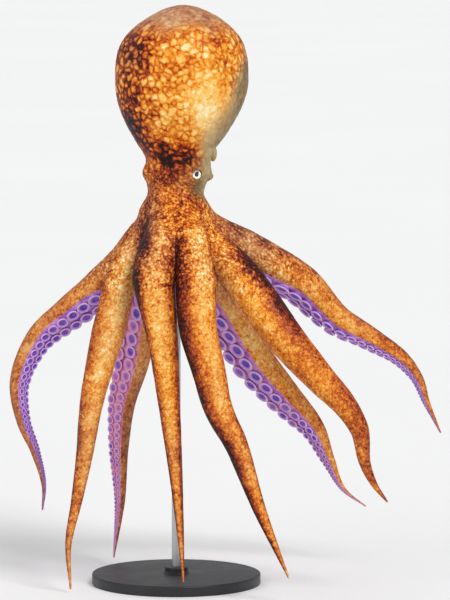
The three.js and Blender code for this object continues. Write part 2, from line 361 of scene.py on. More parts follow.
@dataclass
class BodyForm:
    """Mantle, head, funnel, eye mounds, arm roots and web, joined by fillets into one field."""

    arms: list[Arm]
    reach: float = 126.0
    spacing: float = 2.0
    far: float = 60.0
    tip_round: float = 9.0
    web_thickness: float = 3.6
    web_reach: float = 86.0
    web_sag: float = 27.0
    eye_out: float = 30.0
    eye_height: float = 464.0
    eye_radius: float = 8.0
    eye_spread: float = 60.0
    eye_turn: tuple[float, float] = (43.0, 90.0)
    eye_open: tuple[float, float] = (1.0, 0.62)
    mound_reach: float = 34.0
    mound_radius: float = 13.6
    brow_height: float = 13.5
    brow_radius: float = 2.3
    lid_radius: float = 10.3
    lid_opening: float = 5.1
    lid_folds: tuple[tuple[float, float, float], ...] = ((7.6, 0.4, 0.8), (11.0, 0.3, 1.3))
    funnel_start: tuple[float, float, float] = (21.5, 20.5, 490)
    funnel_end: tuple[float, float, float] = (33.5, 33, 454)
    funnel_radii: tuple[float, float] = (15.0, 8.5)
    bore_radii: tuple[float, float] = (3.5, 6.0)
    bore_depth: float = 19.0
    funnel_zone: tuple[float, float, float] = (30.0, 29.0, 471.0)
    funnel_reach: float = 48.0
    lobe_turn: float = 52.0
    lobe_out: float = 41.0
    lobe_height: float = 484.5
    lobe_radius: float = 5.6
    tables: dict = field(default_factory=dict)

    PART = 20000
    BEYOND = 1e3

    def __post_init__(self) -> None:
        """Samples the arms' centrelines and the trunk's outline, softened by a bell-shaped average."""
        stations = np.arange(0.0, self.reach, self.spacing)
        frames = [arm.frame(stations) for arm in self.arms]
        self.tables["stations"] = stations
        for k, key in enumerate(("centre", "tangent", "oral", "across")):
            self.tables[key] = np.stack([f[k] for f in frames])
        heights = np.arange(395.0, 520.0, 1.0)
        outline = ((395, 0), (MOUTH_Z, 10), (MOUTH_Z + 9, 28), (MOUTH_Z + 20, 34), (NECK_Z, 31),
                   (NECK_Z + 8, 31.5), (NECK_Z + 22, 34.5), (NECK_Z + 37, 35.5), (RIM_Z, 38), (520, 38))
        known = np.array(outline, float)
        raw = np.interp(heights, known[:, 0], known[:, 1])
        reach, spread = 9, 3.5
        kernel = np.exp(-0.5 * (np.arange(-reach, reach + 1) / spread) ** 2)
        padded = np.pad(raw, reach, mode="edge")
        self.tables["trunk"] = (heights, np.convolve(padded, kernel / kernel.sum(), mode="valid"))

    def head_centre(self) -> Array:
        """Middle of the head at the height of the eyes."""
        return np.array([3.0, 1.0, self.eye_height])

    def eye_centre(self, side: int) -> Array:
        """Middle of an eyeball; side is 1 for the left eye and -1 for the right."""
        reach = outward(BACK_HEADING + side * self.eye_spread) * self.eye_out
        return reach + self.head_centre()

    def eye_axis(self, side: int) -> Array:
        """The way an eye looks; the left eye is rolled further towards the back than the right."""
        turn = self.eye_turn[0] if side == 1 else self.eye_turn[1]
        return unit(outward(BACK_HEADING + side * turn) + np.array([0, 0, 0.03]))

    # ---- pieces of the field

    def _mantle(self, p: Array) -> Array:
        """The mantle: a bellied bag below its widest height, and a rounded dome above it.

        Args:
            p: positions, one row each.

        Returns:
            Distance to the mantle's skin.
        """
        rise = ease((p[:, 2] - RIM_Z) / (BELLY_Z - RIM_Z))
        x = p[:, 0] - (1.0 + 5.7 * rise + 2.0 * ease((p[:, 2] - 590.0) / 60.0))
        y = p[:, 1] / mix(0.95, 0.87, rise)
        low = outward(FUNNEL_HEADING)
        z = p[:, 2] + 7.0 * (1.0 - rise) * (x * low[0] + p[:, 1] * low[1]) / RIM_RADIUS
        around = np.sqrt(x * x + y * y + self.tip_round ** 2) / BELLY_RADIUS
        share = np.sin(np.clip((z - RIM_Z) / (BELLY_Z - RIM_Z), -0.6, 1.0) * np.pi / 2)
        swell = mix(RIM_RADIUS / BELLY_RADIUS, 1.0, np.sign(share) * np.abs(share) ** 0.88)
        lower = (around - swell) * BELLY_RADIUS * 0.93
        up = np.clip((z - BELLY_Z) / (TOP_Z - BELLY_Z), 0.0, None)
        value = around ** (4 / 3) + up ** 3 - 1.0
        slope = np.hypot(4 / 3 * around ** (1 / 3) / BELLY_RADIUS, 3 * up ** 2 / (TOP_Z - BELLY_Z))
        upper = value / np.maximum(slope, 0.006)
        crest = 0.8 * ease((p[:, 2] - 600.0) / 40.0) * ease((650.0 - p[:, 2]) / 20.0)
        side = np.where(z < BELLY_Z, lower, upper + crest)
        return smooth_max(side, RIM_Z - 3.0 - z, 7.0)

    def _trunk(self, p: Array) -> Array:
        """The head and the neck, turned about a line that leans a little, from the mouth up into the mantle.

        Args:
            p: positions, one row each.

        Returns:
            Distance to the trunk's skin.
        """
        lean = ease((p[:, 2] - NECK_Z - 4.0) / 22.0)
        heights, radii = self.tables["trunk"]
        radius = np.interp(p[:, 2], heights, radii)
        around = np.hypot(p[:, 0] - 3.0 * lean, (p[:, 1] - 1.0) / 0.95)
        side = (around - radius) * 0.9
        return smooth_max(smooth_max(side, MOUTH_Z - p[:, 2], 4.0), p[:, 2] - TRUNK_TOP_Z, 4.0)

    def _ventral(self, p: Array) -> Array:
        """Tells the animal's back from its funnel side, around the neck.

        Args:
            p: positions, one row each.

        Returns:
            0 along the back, rising to 1 along the funnel side.
        """
        level = unit(np.stack([p[:, 0] - 2.0, p[:, 1] - 1.0], axis=1))
        low = outward(FUNNEL_HEADING)
        return ease((level @ low[:2] + 0.25) / 0.9)

    def _funnel(self, p: Array) -> tuple[Array, Array]:
        """The funnel, a tapering tube with a slightly thickened lip.

        Args:
            p: positions, one row each.

        Returns:
            Distances to the funnel's outside and to its bore.
        """
        start, end = np.array(self.funnel_start, float), np.array(self.funnel_end, float)
        length = np.linalg.norm(end - start)
        axis = (end - start) / length
        along = (p - start) @ axis
        off = np.linalg.norm(p - start - along[:, None] * axis, axis=1)
        t = along / length
        radius = mix(*self.funnel_radii, ease(t)) + 1.1 * np.exp(-((t - 0.99) / 0.07) ** 2)
        outside = smooth_max(off - radius, along - length, 2.4)
        outside = smooth_max(outside, -8.0 - along, 4.0)
        hollow = off - mix(*self.bore_radii, ease((t - 0.5) / 0.5))
        bore = smooth_max(hollow, (length - self.bore_depth) - along, 3.0)
        return outside, bore

    def _eyes(self, body: Array, p: Array) -> Array:
        """Adds the eye mounds, brows and lids, and opens a socket for each eyeball.

        Args:
            body: distance to the skin so far, which is changed in place.
            p: positions, one row each.

        Returns:
            Distance to the skin with the eyes' surroundings.
        """
        for side in (1, -1):
            centre = self.eye_centre(side)
            axis = self.eye_axis(side)
            near = np.linalg.norm(p - centre, axis=1) < self.mound_reach
            q = p[near] - centre
            root = self.head_centre() - centre
            mound = np.linalg.norm((q - root * 0.24) * np.array([1, 1, 0.92]), axis=1) - self.mound_radius
            local = smooth_min(body[near], mound, 9.0)
            ball = np.linalg.norm(q, axis=1)
            local = smooth_min(local, ball - self.lid_radius, 4.0)
            above = axis * (1.0 + 5.5 * side) + np.array([0, 0, self.brow_height])
            brow = np.linalg.norm(q - above, axis=1) - self.brow_radius
            local = smooth_min(local, brow, 3.0)
            forward = q @ axis
            sideways = unit(np.cross(axis, [0, 0, 1.0]))
            u, v = q @ sideways, q @ np.cross(sideways, axis)
            ring = np.hypot(u, v * 1.1)
            facing = ease(forward / 4.0)
            for radius, depth, spread in self.lid_folds:
                local += facing * depth * np.exp(-((ring - radius) / spread) ** 2)
            gape = self.lid_opening * self.eye_open[0 if side == 1 else 1]
            opening = np.hypot(u / 1.08, (v + 0.12 * u) * 1.06) - gape
            opening = smooth_max(opening, 2.0 - forward, 1.0)
            local = smooth_max(local, -opening, 1.4)
            cavity = smooth_max(ball - self.eye_radius - 0.15, 1.0 - forward, 0.6)
            body[near] = smooth_max(local, -cavity, 0.4)
        return body

    def locate(self, p: Array) -> dict[str, Array]:
        """Nearest station on every arm, with the offsets from it.

        Args:
            p: positions, one row each.

        Returns:
            Arrays with a row for each point and a column for each arm: s, u, v and foot.
        """
        centres = self.tables["centre"]
        count, stations = centres.shape[:2]
        flat = centres.reshape(-1, 3).astype(np.float32)
        square = np.sum(flat * flat, axis=1)
        pick = np.empty((len(p), count), np.int32)
        for low in range(0, len(p), self.PART):
            part = p[low:low + self.PART].astype(np.float32)
            gap = square - 2.0 * part @ flat.T
            pick[low:low + self.PART] = gap.reshape(len(part), count, stations).argmin(axis=2)
        arm = np.arange(count)[None, :]
        centre = centres[arm, pick]
        tangent = self.tables["tangent"][arm, pick]
        shift = np.einsum("nkj,nkj->nk", p[:, None, :] - centre, tangent)
        last = stations - 1
        low = np.where(pick == 0, -self.BEYOND, -self.spacing)
        high = np.where(pick == last, self.BEYOND, self.spacing)
        slide = np.clip(shift, low, high)
        share = np.clip(slide / self.spacing, -1, 1)[..., None]
        other = np.clip(pick + np.sign(share[..., 0]).astype(int), 0, last)
        oral = unit(mix(self.tables["oral"][arm, pick], self.tables["oral"][arm, other], np.abs(share)))
        across = unit(mix(self.tables["across"][arm, pick], self.tables["across"][arm, other], np.abs(share)))
        foot = centre + tangent * slide[..., None]
        off = p[:, None, :] - foot
        return {
            "s": pick * self.spacing + slide,
            "u": np.einsum("nkj,nkj->nk", off, across),
            "v": np.einsum("nkj,nkj->nk", off, oral),
            "foot": foot,
        }

    def nearest_arm(self, p: Array) -> tuple[Array, Array, dict[str, Array]]:
        """Finds the arm whose skin is nearest.

        Args:
            p: positions, one row each.

        Returns:
            The arm's number, the distance along it, and the offsets from every arm as locate gives them.
        """
        found = self.locate(p)
        gap = np.empty_like(found["s"])
        for k, arm in enumerate(self.arms):
            u, v, s = found["u"][:, k], found["v"][:, k], found["s"][:, k]
            radius = arm.section(np.arctan2(v, u)) * arm.width(np.maximum(s, 0.0))
            gap[:, k] = np.hypot(u, v) - radius + np.maximum(0.0, -s)
        nearest = np.argmin(gap, axis=1)
        return nearest, found["s"][np.arange(len(p)), nearest], found

    def _limbs(self, p: Array) -> Array:
        """The arms' roots and the web that hangs in arches between neighbouring arms.

        Args:
            p: positions, one row each.

        Returns:
            Distance to the skin of arms and web.
        """
        found = self.locate(p)
        s = found["s"]
        total = None
        each = []
        for k, arm in enumerate(self.arms):
            width = arm.width(np.maximum(s[:, k], 0.0))
            off = np.hypot(found["u"][:, k], found["v"][:, k])
            radius = arm.section(np.arctan2(found["v"][:, k], found["u"][:, k])) * width
            along = np.maximum(-s[:, k], s[:, k] - self.reach + 4.0)
            limb = smooth_max((off - radius) * 0.95, along, 6.0)
            each.append(limb)
            fillet = mix(13.0, 0.6, ease((s[:, k] - 20.0) / 80.0))
            total = limb if total is None else smooth_min(total, limb, fillet)
        fillet = mix(8.0, 0.6, ease((s.min(axis=1) - 70.0) / 40.0))
        for k in range(len(self.arms)):
            other = (k + 1) % len(self.arms)
            a, b = found["foot"][:, k], found["foot"][:, other]
            span = b - a
            c = np.clip(np.sum((p - a) * span, axis=1) / np.maximum(np.sum(span * span, axis=1), 1e-6), 0, 1)
            sheet = np.linalg.norm(p - a - span * c[:, None], axis=1) - self.web_thickness / 2
            along = mix(s[:, k], s[:, other], c)
            reach = np.maximum(along - (self.web_reach - self.web_sag * 4 * c * (1 - c)), 2.0 - along)
            total = smooth_min(total, smooth_max(sheet, reach, 3.0), fillet)
            apart, inside = (each[k] - each[other]) / 2.0, np.minimum(each[k], each[other]) / 5.0
            parting = np.exp(-apart ** 2 - inside ** 2)
            total = total + 1.3 * parting * ease((along - 80.0) / 12.0)
        return total

    def distance(self, p: Array) -> Array:
        """Joins every part of the body.

        Args:
            p: positions, one row each.

        Returns:
            Distance to the skin, negative inside, in millimetres.
        """
        trunk = self._trunk(p)
        mantle = np.full(len(p), self.far)
        high = p[:, 2] > 455.0
        ventral = self._ventral(p)
        mantle[high] = self._mantle(p[high])
        pocket = smooth_max(trunk - mix(-5.0, 3.0, ventral), p[:, 2] - RIM_Z - 6.0 + 7.0 * ventral, 2.0)
        mantle = smooth_max(mantle, -pocket, 1.6)
        body = smooth_min(trunk, mantle, mix(16.0, 1.6, ventral))
        low = p[:, 2] < 466.0
        if low.any():
            fillet = mix(mix(24.0, 15.0, ease(p[low, 0] / 30.0)), 1.0, ease((p[low, 2] - 420.0) / 42.0))
            body[low] = smooth_min(body[low], self._limbs(p[low]), fillet)
        for turn in (-self.lobe_turn, self.lobe_turn):
            middle = outward(FUNNEL_HEADING + turn) * self.lobe_out + np.array([2.0, 1.0, self.lobe_height])
            lobe = (np.linalg.norm((p - middle) / np.array([0.8, 1.1, 1.6]), axis=1) - self.lobe_radius) * 0.8
            body = smooth_min(body, lobe, 1.6)
        near = np.linalg.norm(p - np.array(self.funnel_zone), axis=1) < self.funnel_reach
        if near.any():
            outside, bore = self._funnel(p[near])
            local = smooth_min(body[near], outside, 8.0)
            body[near] = smooth_max(local, -bore, 1.2)
        return self._eyes(body, p)

    def gradient(self, p: Array, step: float = 0.25) -> tuple[Array, Array]:
        """Distance and its slope at each point.

        Args:
            p: positions, one row each.
            step: how far the slope is measured.

        Returns:
            The distance, and the slope as a vector.
        """
        middle = self.distance(p)
        slope = np.empty_like(p)
        for axis in range(3):
            moved = p.copy()
            moved[:, axis] += step
            slope[:, axis] = (self.distance(moved) - middle) / step
        return middle, slope

    def surface(self, cell: float, blocks: int = 5) -> tuple[Array, Array]:
        """Quads over the zero of the field.

        Args:
            cell: edge of a grid cell.
            blocks: cells to each coarse block that is tested first.

        Returns:
            Vertices in millimetres and quads.
        """
        centres, margin = self.tables["centre"], 31.0
        low = np.minimum(centres.min(axis=(0, 1)), -76.0) - margin
        high = np.maximum(centres.max(axis=(0, 1)), 76.0) + margin
        low[2], high[2] = centres[..., 2].min() - margin, TOP_Z + 8.0
        coarse = cell * blocks
        counts = np.ceil((high - low) / coarse).astype(int)
        corners = np.stack(np.meshgrid(*map(np.arange, counts), indexing="ij"), axis=-1).reshape(-1, 3)
        middles = low + (corners + 0.5) * coarse
        part = 3 * self.PART
        rough = np.concatenate([self.distance(middles[k:k + part]) for k in range(0, len(middles), part)])
        values = np.repeat(np.repeat(np.repeat(
            rough.reshape(counts), blocks, 0), blocks, 1), blocks, 2).astype(np.float32)
        live = corners[np.abs(rough) < coarse * 1.45]
        grain = np.stack(np.meshgrid(*[np.arange(blocks)] * 3, indexing="ij"), axis=-1).reshape(-1, 3)
        at_once = 800
        for start in range(0, len(live), at_once):
            index = (live[start:start + at_once, None, :] * blocks + grain[None]).reshape(-1, 3)
            values[tuple(index.T)] = self.distance(low + (index + 0.5) * cell)
        values = np.clip(values, -3 * cell, 3 * cell)
        grid = openvdb.FloatGrid(background=3 * cell)
        grid.copyFromArray(values)
        points, quads = grid.convertToQuads(isovalue=0.0)
        points = low + (points.astype(float) + 0.5) * cell
        return self.settle(points, cell), quads.astype(int)

    def settle(self, points: Array, reach: float, rounds: int = 2) -> Array:
        """Moves points onto the skin.

        Args:
            points: positions near the skin, one row each.
            reach: the moves stay within about this far.
            rounds: how many times the points are moved.

        Returns:
            The moved points.
        """
        for _ in range(rounds):
            value, slope = self.gradient(points)
            steep = np.maximum(np.sum(slope * slope, axis=1), 0.3)
            move = -slope * (value / steep)[:, None]
            far = np.linalg.norm(move, axis=1, keepdims=True)
            points = points + move * np.minimum(1.0, reach * 0.6 / np.maximum(far, 1e-9))
        return points


# ---- meshes


def make_piece(name: str, points: Array, faces: list[Array]) -> bpy.types.Object:
    """Makes an object from arrays.

    Args:
        name: the piece's name.
        points: vertices in millimetres.
        faces: arrays of corner indices, each with its own number of corners.

    Returns:
        The new object, smooth shaded.
    """
    mesh = bpy.data.meshes.new(name)
    corners = np.concatenate([f.ravel() for f in faces]).astype(np.int32)
    sizes = np.concatenate([np.full(len(f), f.shape[1]) for f in faces]).astype(np.int32)
    mesh.vertices.add(len(points))
    mesh.vertices.foreach_set("co", (points * MM).astype(np.float32).ravel())
    mesh.loops.add(len(corners))
    mesh.loops.foreach_set("vertex_index", corners)
    mesh.polygons.add(len(sizes))
    mesh.polygons.foreach_set("loop_start", np.concatenate([[0], np.cumsum(sizes)[:-1]]).astype(np.int32))
    mesh.update(calc_edges=True)
    mesh.shade_smooth()
    piece = bpy.data.objects.new(name, mesh)
    bpy.context.scene.collection.objects.link(piece)
    return piece


def give(piece: bpy.types.Object, name: str, values: Array) -> None:
    """Stores one number at each vertex for the materials to read."""
    layer = piece.data.attributes.new(name, "FLOAT", "POINT")
    layer.data.foreach_set("value", np.asarray(values, np.float32))


def give_uv(piece: bpy.types.Object, places: Array) -> None:
    """Lays the piece out flat, with one place for each face corner."""
    layer = piece.data.uv_layers.new(name="OFBake")
    layer.data.foreach_set("uv", np.asarray(places, np.float32).ravel())


def tube_quads(rings: int, columns: int) -> Array:
    """Quads between the rings of a tube, whose vertices are numbered ring by ring.

    Args:
        rings: how many rings there are.
        columns: vertices in each ring.

    Returns:
        Corner indices, one row for each quad.
    """
    i, j = np.meshgrid(np.arange(rings - 1), np.arange(columns), indexing="ij")
    k = (j + 1) % columns
    corners = [i * columns + j, i * columns + k, (i + 1) * columns + k, (i + 1) * columns + j]
    return np.stack(corners, axis=-1).reshape(-1, 4)


def fan(ring: int, columns: int, hub: int, downward: bool = False) -> Array:
    """Triangles that close a tube's end from its last ring to one vertex.

    Args:
        ring: number of the ring's first vertex.
        columns: vertices in the ring.
        hub: number of the vertex in the middle.
        downward: whether the triangles face the other way.

    Returns:
        Corner indices, one row for each triangle.
    """
    j = np.arange(columns)
    k = (j + 1) % columns
    first, second = (k, j) if downward else (j, k)
    return np.stack([ring + first, ring + second, np.full(columns, hub)], axis=-1)


def vertex_normals(points: Array, faces: list[Array]) -> Array:
    """Area-weighted normals of a mesh of triangles and quads.

    Args:
        points: the vertices.
        faces: arrays of corner indices, each with its own number of corners.

    Returns:
        One unit vector for each vertex.
    """
    total = np.zeros_like(points)
    for group in faces:
        a, b, c = points[group[:, 0]], points[group[:, 1]], points[group[:, 2]]
        d = points[group[:, -1]]
        flat = np.cross(c - a, d - b) if group.shape[1] == 4 else np.cross(b - a, c - a)
        for corner in range(group.shape[1]):
            for axis in range(3):
                total[:, axis] += np.bincount(group[:, corner], flat[:, axis], len(points))
    return unit(total)


def cells(points: Array, size: float, seed: int) -> tuple[Array, Array]:
    """Irregular cells in space.

    Args:
        points: positions, one row each.
        size: usual width of a cell.
        seed: picks the pattern.

    Returns:
        How far each point is from its cell's edge, as a share of the size, and the cell's own number from 0
        to 1.
    """
    scaled = points / size
    base = np.floor(scaled).astype(np.int64)
    best = np.full(len(points), 9.0)
    second = np.full(len(points), 9.0)
    tone = np.zeros(len(points))
    for step in np.ndindex(3, 3, 3):
        cell = base + np.array(step) - 1
        key = np.bitwise_xor.reduce(cell * LATTICE_PRIMES, axis=1) + seed * CELL_STEP
        spot = np.empty_like(scaled)
        for axis in range(4):
            share = scramble(key + axis * AXIS_STEP)
            if axis < 3:
                spot[:, axis] = cell[:, axis] + 0.1 + 0.8 * share
        gap = np.linalg.norm(scaled - spot, axis=1)
        nearer = gap < best
        second = np.where(nearer, best, np.minimum(second, gap))
        tone = np.where(nearer, share, tone)
        best = np.where(nearer, gap, best)
    return second - best, tone


# ---- the skin


@dataclass
class Skin:
    """The one skin over mantle, head, funnel, web and arms."""

    arms: list[Arm]
    form: BodyForm
    cell: float = 1.25
    join: float = 104.0
    gap: float = 1.8
    cut_margin: float = 6.0
    columns: int = 72
    row_share: float = 0.037
    row_least: float = 0.5
    eye_zone: float = 15.5
    cobble: float = 7.8
    granule: float = 3.8
    points: Array = None
    faces: list = field(default_factory=list)
    uv: Array = None
    tone: dict = field(default_factory=dict)

    FLESH = ("mantle", "head", "funnel", "crown")

    def build(self) -> bpy.types.Object:
        """Builds the whole skin.

        Returns:
            The skin as one object.
        """
        body, body_quads, body_tris, loops = self._trimmed_body()
        arm_points, arm_quads, zips, arm_uv, zip_uv = [], [], [], [], []
        arm_data = []
        start = len(body)
        for k, arm in enumerate(self.arms):
            points, quads, uv, data = self._limb(k, arm, start)
            strip, strip_uv = self._zip(k, arm, body, loops[k], start)
            arm_points.append(points)
            arm_quads.append(quads)
            arm_uv.append(uv)
            zips.append(strip)
            zip_uv.append(strip_uv)
            arm_data.append(data)
            start += len(points)
        self.points = np.concatenate([body] + arm_points)
        quads = np.concatenate([body_quads] + arm_quads)
        tris = np.concatenate([body_tris] + zips)
        self.faces = [quads, tris]
        normals = vertex_normals(self.points, self.faces)
        self.uv = np.concatenate([
            self._body_uv(body, normals, body_quads), np.concatenate(arm_uv),
            self._body_uv(body, normals, body_tris), np.concatenate(zip_uv)])
        self._colour_facts(body, arm_data, normals)
        self._relief(normals)
        piece = make_piece("skin", self.points, self.faces)
        give_uv(piece, self.uv)
        for name, values in self.tone.items():
            give(piece, name, values)
        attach(piece, "root")
        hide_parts(*self.FLESH, *[f"arm_{arm.plan.name}_{part}" for arm in self.arms for part in "abc"])
        LOG.info("skin: %d vertices, %d quads, %d triangles", len(self.points), len(quads), len(tris))
        return piece

    # ---- the body, cut square across each arm

    def _trimmed_body(self) -> tuple[Array, Array, Array, list[Array]]:
        """Meshes the body's field and cuts it square across each arm.

        Returns:
            Vertices, quads, triangles, and the vertices round each arm's cut.
        """
        points, quads = self.form.surface(self.cell)
        mesh = bpy.data.meshes.new("trim")
        mesh.from_pydata(points.tolist(), [], quads.tolist())
        body = bmesh.new()
        body.from_mesh(mesh)
        bpy.data.meshes.remove(mesh)
        planes = [arm.frame(np.array([self.join])) for arm in self.arms]
        nearest, along, _ = self.form.nearest_arm(points)
        body.verts.ensure_lookup_table()
        for k, (centre, tangent, _, _) in enumerate(planes):
            take = np.flatnonzero((nearest == k) & (along > self.join - self.cut_margin))
            grown = dict.fromkeys(f for i in take for f in body.verts[i].link_faces)
            edges = dict.fromkeys(e for f in grown for e in f.edges)
            corners = dict.fromkeys(v for f in grown for v in f.verts)
            bmesh.ops.bisect_plane(
                body, geom=[*corners, *edges, *grown], dist=1e-4, plane_co=centre[0], plane_no=tangent[0],
                clear_outer=True)
            body.verts.ensure_lookup_table()
            if k < len(planes) - 1:
                body.verts.index_update()
                points = np.array([v.co for v in body.verts])
                nearest, along, _ = self.form.nearest_arm(points)
        self._keep_largest(body)
        self._refine_eyes(body)
        bmesh.ops.triangulate(body, faces=[f for f in body.faces if len(f.verts) > 4])
        body.verts.index_update()
        body.verts.ensure_lookup_table()
        points = np.array([v.co for v in body.verts])
        loops = []
        rims = np.array([v.index for v in body.verts if v.is_boundary])
        for arm, (centre, tangent, _, _) in zip(self.arms, planes):
            off = points[rims] - centre[0]
            flat = np.abs(off @ tangent[0]) < 0.05
            close = np.linalg.norm(off, axis=1) < 0.56 * arm.width(self.join) + 1.0
            loops.append(rims[flat & close])
            radius = np.linalg.norm(points[loops[-1]] - centre[0], axis=1)
            LOG.info("loop: %d vertices, radius %.1f to %.1f", len(radius), radius.min(), radius.max())
        if sum(len(loop) for loop in loops) != len(rims):
            LOG.info("skin: %d stray edge vertices", len(rims) - sum(len(loop) for loop in loops))
        quads = np.array([[v.index for v in f.verts] for f in body.faces if len(f.verts) == 4])
        tris = np.array([[v.index for v in f.verts] for f in body.faces if len(f.verts) == 3])
        body.free()
        return points, quads, tris.reshape(-1, 3), loops

    @staticmethod
    def _keep_largest(body: bmesh.types.BMesh) -> None:
        """Removes every loose scrap that the cuts left.

        Args:
            body: the mesh, which is changed in place.
        """
        body.verts.index_update()
        body.verts.ensure_lookup_table()
        group = [-1] * len(body.verts)
        sizes = []
        for seed in body.verts:
            if group[seed.index] >= 0:
                continue
            group[seed.index] = len(sizes)
            queue, size = [seed], 0
            while queue:
                vertex = queue.pop()
                size += 1
                for edge in vertex.link_edges:
                    other = edge.other_vert(vertex)
                    if group[other.index] < 0:
                        group[other.index] = len(sizes)
                        queue.append(other)
            sizes.append(size)
        largest = sizes.index(max(sizes))
        scraps = [v for v in body.verts if group[v.index] != largest]
        bmesh.ops.delete(body, geom=scraps, context="VERTS")
        LOG.info("skin: %d scraps removed", len(sizes) - 1)

    def _eye_front(self, side: int) -> Array:
        """A point just within the eyeball's front."""
        return self.form.eye_centre(side) + self.form.eye_axis(side) * 6.0

    def _refine_eyes(self, body: bmesh.types.BMesh) -> None:
        """Divides the faces round each eye twice, so that the lids are crisp.

        Args:
            body: the mesh, which is changed in place.
        """
        for side in (1, -1):
            middle = self._eye_front(side)
            for zone in (self.eye_zone, self.eye_zone - 3.0):
                near = {v for v in body.verts if np.linalg.norm(np.array(v.co) - middle) < zone}
                edges = [e for e in body.edges if e.verts[0] in near and e.verts[1] in near]
                bmesh.ops.subdivide_edges(body, edges=edges, cuts=1, use_grid_fill=True)
                near = [v for v in body.verts if np.linalg.norm(np.array(v.co) - middle) < zone]
                settled = self.form.settle(np.array([v.co for v in near]), 1.0)
                for vertex, spot in zip(near, settled):
                    vertex.co = spot

    # ---- the arms beyond the cut

    def _limb(self, k: int, arm: Arm, start: int) -> tuple[Array, Array, Array, dict[str, Array]]:
        """Builds an arm from its cut to its tip, which two shrinking rings and a point round off.

        Args:
            k: the arm's number.
            arm: the arm.
            start: number of its first vertex in the whole skin.

        Returns:
            Vertices, quads, flat places of the quads' corners, and what the colours need at each vertex.
        """
        stations = self._stations(arm)
        centre, tangent, oral, across = arm.frame(stations)
        turn = -np.pi + 2 * np.pi * np.arange(self.columns) / self.columns
        width = arm.width(stations)
        beyond, shrink = np.array([[0.6], [0.95]]), np.array([0.75, 0.35])
        centre = np.concatenate([centre, centre[-1] + tangent[-1] * beyond * width[-1] / 2])
        stations = np.concatenate([stations, stations[-1:] + 0.5, stations[-1:] + 0.9])
        width = np.concatenate([width, width[-1] * shrink])
        oral = np.concatenate([oral, oral[-1:], oral[-1:]])
        across = np.concatenate([across, across[-1:], across[-1:]])
        radius = width[:, None] * arm.section(turn)[None, :]
        ring = (centre[:, None, :] + across[:, None, :] * (radius * np.cos(turn))[..., None]
                + oral[:, None, :] * (radius * np.sin(turn))[..., None])
        rows = len(stations)
        tip = centre[-1] + tangent[-1] * 0.12
        points = np.concatenate([ring.reshape(-1, 3), tip[None]])
        i, j = np.meshgrid(np.arange(rows - 1), np.arange(self.columns), indexing="ij")
        n = self.columns
        last = (rows - 1) * n
        j2 = np.arange(0, n, 2)
        rim = [last + (j2 + step) % n for step in range(3)]
        cap = np.stack(rim + [np.full(n // 2, rows * n)], axis=-1)
        share = (stations - self.join) / (stations[-1] - self.join)
        col = np.stack([j, j + 1, j + 1, j], axis=-1) / n
        row = np.stack([share[i], share[i], share[i + 1], share[i + 1]], axis=-1)
        cap_col = np.stack([j2, j2 + 1, j2 + 2, j2 + 1], axis=-1) / n
        cap_row = np.tile([1.0, 1.0, 1.0, 1.005], (len(j2), 1))
        uv = np.concatenate([
            self._strip(k, col.reshape(-1, 4), row.reshape(-1, 4)), self._strip(k, cap_col, cap_row)])
        data = {
            "s": np.append(np.repeat(stations, n), stations[-1]),
            "turn": np.append(np.tile(turn, rows), 0.0),
            "width": np.append(np.repeat(width, n), width[-1]),
            "oral": np.concatenate([np.repeat(oral, n, axis=0), oral[-1:]]),
            "arm": np.full(len(points), k),
        }
        return points, np.concatenate([tube_quads(rows, n), cap]) + start, uv.reshape(-1, 2), data

    def _zip(self, k: int, arm: Arm, body: Array, loop: Array, start: int) -> tuple[Array, Array]:
        """Joins the body's cut to the arm's first ring with triangles.

        Args:
            k: the arm's number.
            arm: the arm.
            body: the body's vertices.
            loop: numbers of the vertices round the cut.
            start: number of the arm's first vertex.

        Returns:
            Triangles, and the flat places of their corners.
        """
        centre, _, oral, across = arm.frame(np.array([self.join]))
        off = body[loop] - centre[0]
        turn = np.arctan2(off @ oral[0], off @ across[0])
        order = np.argsort(turn)
        loop, turn = loop[order], turn[order]
        low = np.append(turn, turn[0] + 2 * np.pi)
        high = -np.pi + 2 * np.pi * np.arange(self.columns + 1) / self.columns
        rise = self.gap / (arm.length - self.join)
        i = j = 0
        faces, places = [], []

        def lower(n: int) -> tuple[int, float, float]:
            """A vertex of the cut, with its flat place."""
            return int(loop[n % len(loop)]), (low[n] + np.pi) / (2 * np.pi), 0.0

        def upper(n: int) -> tuple[int, float, float]:
            """A vertex of the arm's first ring, with its flat place."""
            return start + n % self.columns, (high[n] + np.pi) / (2 * np.pi), rise

        while i < len(loop) or j < self.columns:
            if j == self.columns or (i < len(loop) and low[i + 1] < high[j + 1]):
                corners = lower(i), lower(i + 1), upper(j)
                i += 1
            else:
                corners = lower(i), upper(j + 1), upper(j)
                j += 1
            faces.append([c[0] for c in corners])
            places.append([c[1:] for c in corners])
        places = np.array(places)
        return np.array(faces), self._strip(k, places[..., 0], places[..., 1]).reshape(-1, 2)

    # ---- flat layout for baking

    @staticmethod
    def _strip(k: int, around: Array, along: Array) -> Array:
        """Places of an arm's faces: four arms side by side, in two rows.

        Args:
            k: the arm's number.
            around: shares of the way round the arm.
            along: shares of the way along it.

        Returns:
            Places between 0 and 1.
        """
        x = 0.004 + (k % 4) * 0.15 + np.clip(around, -0.01, 1.04) * 0.135
        y = 0.006 + (k // 4) * 0.5 + along * 0.48
        return np.stack([x, y], axis=-1)

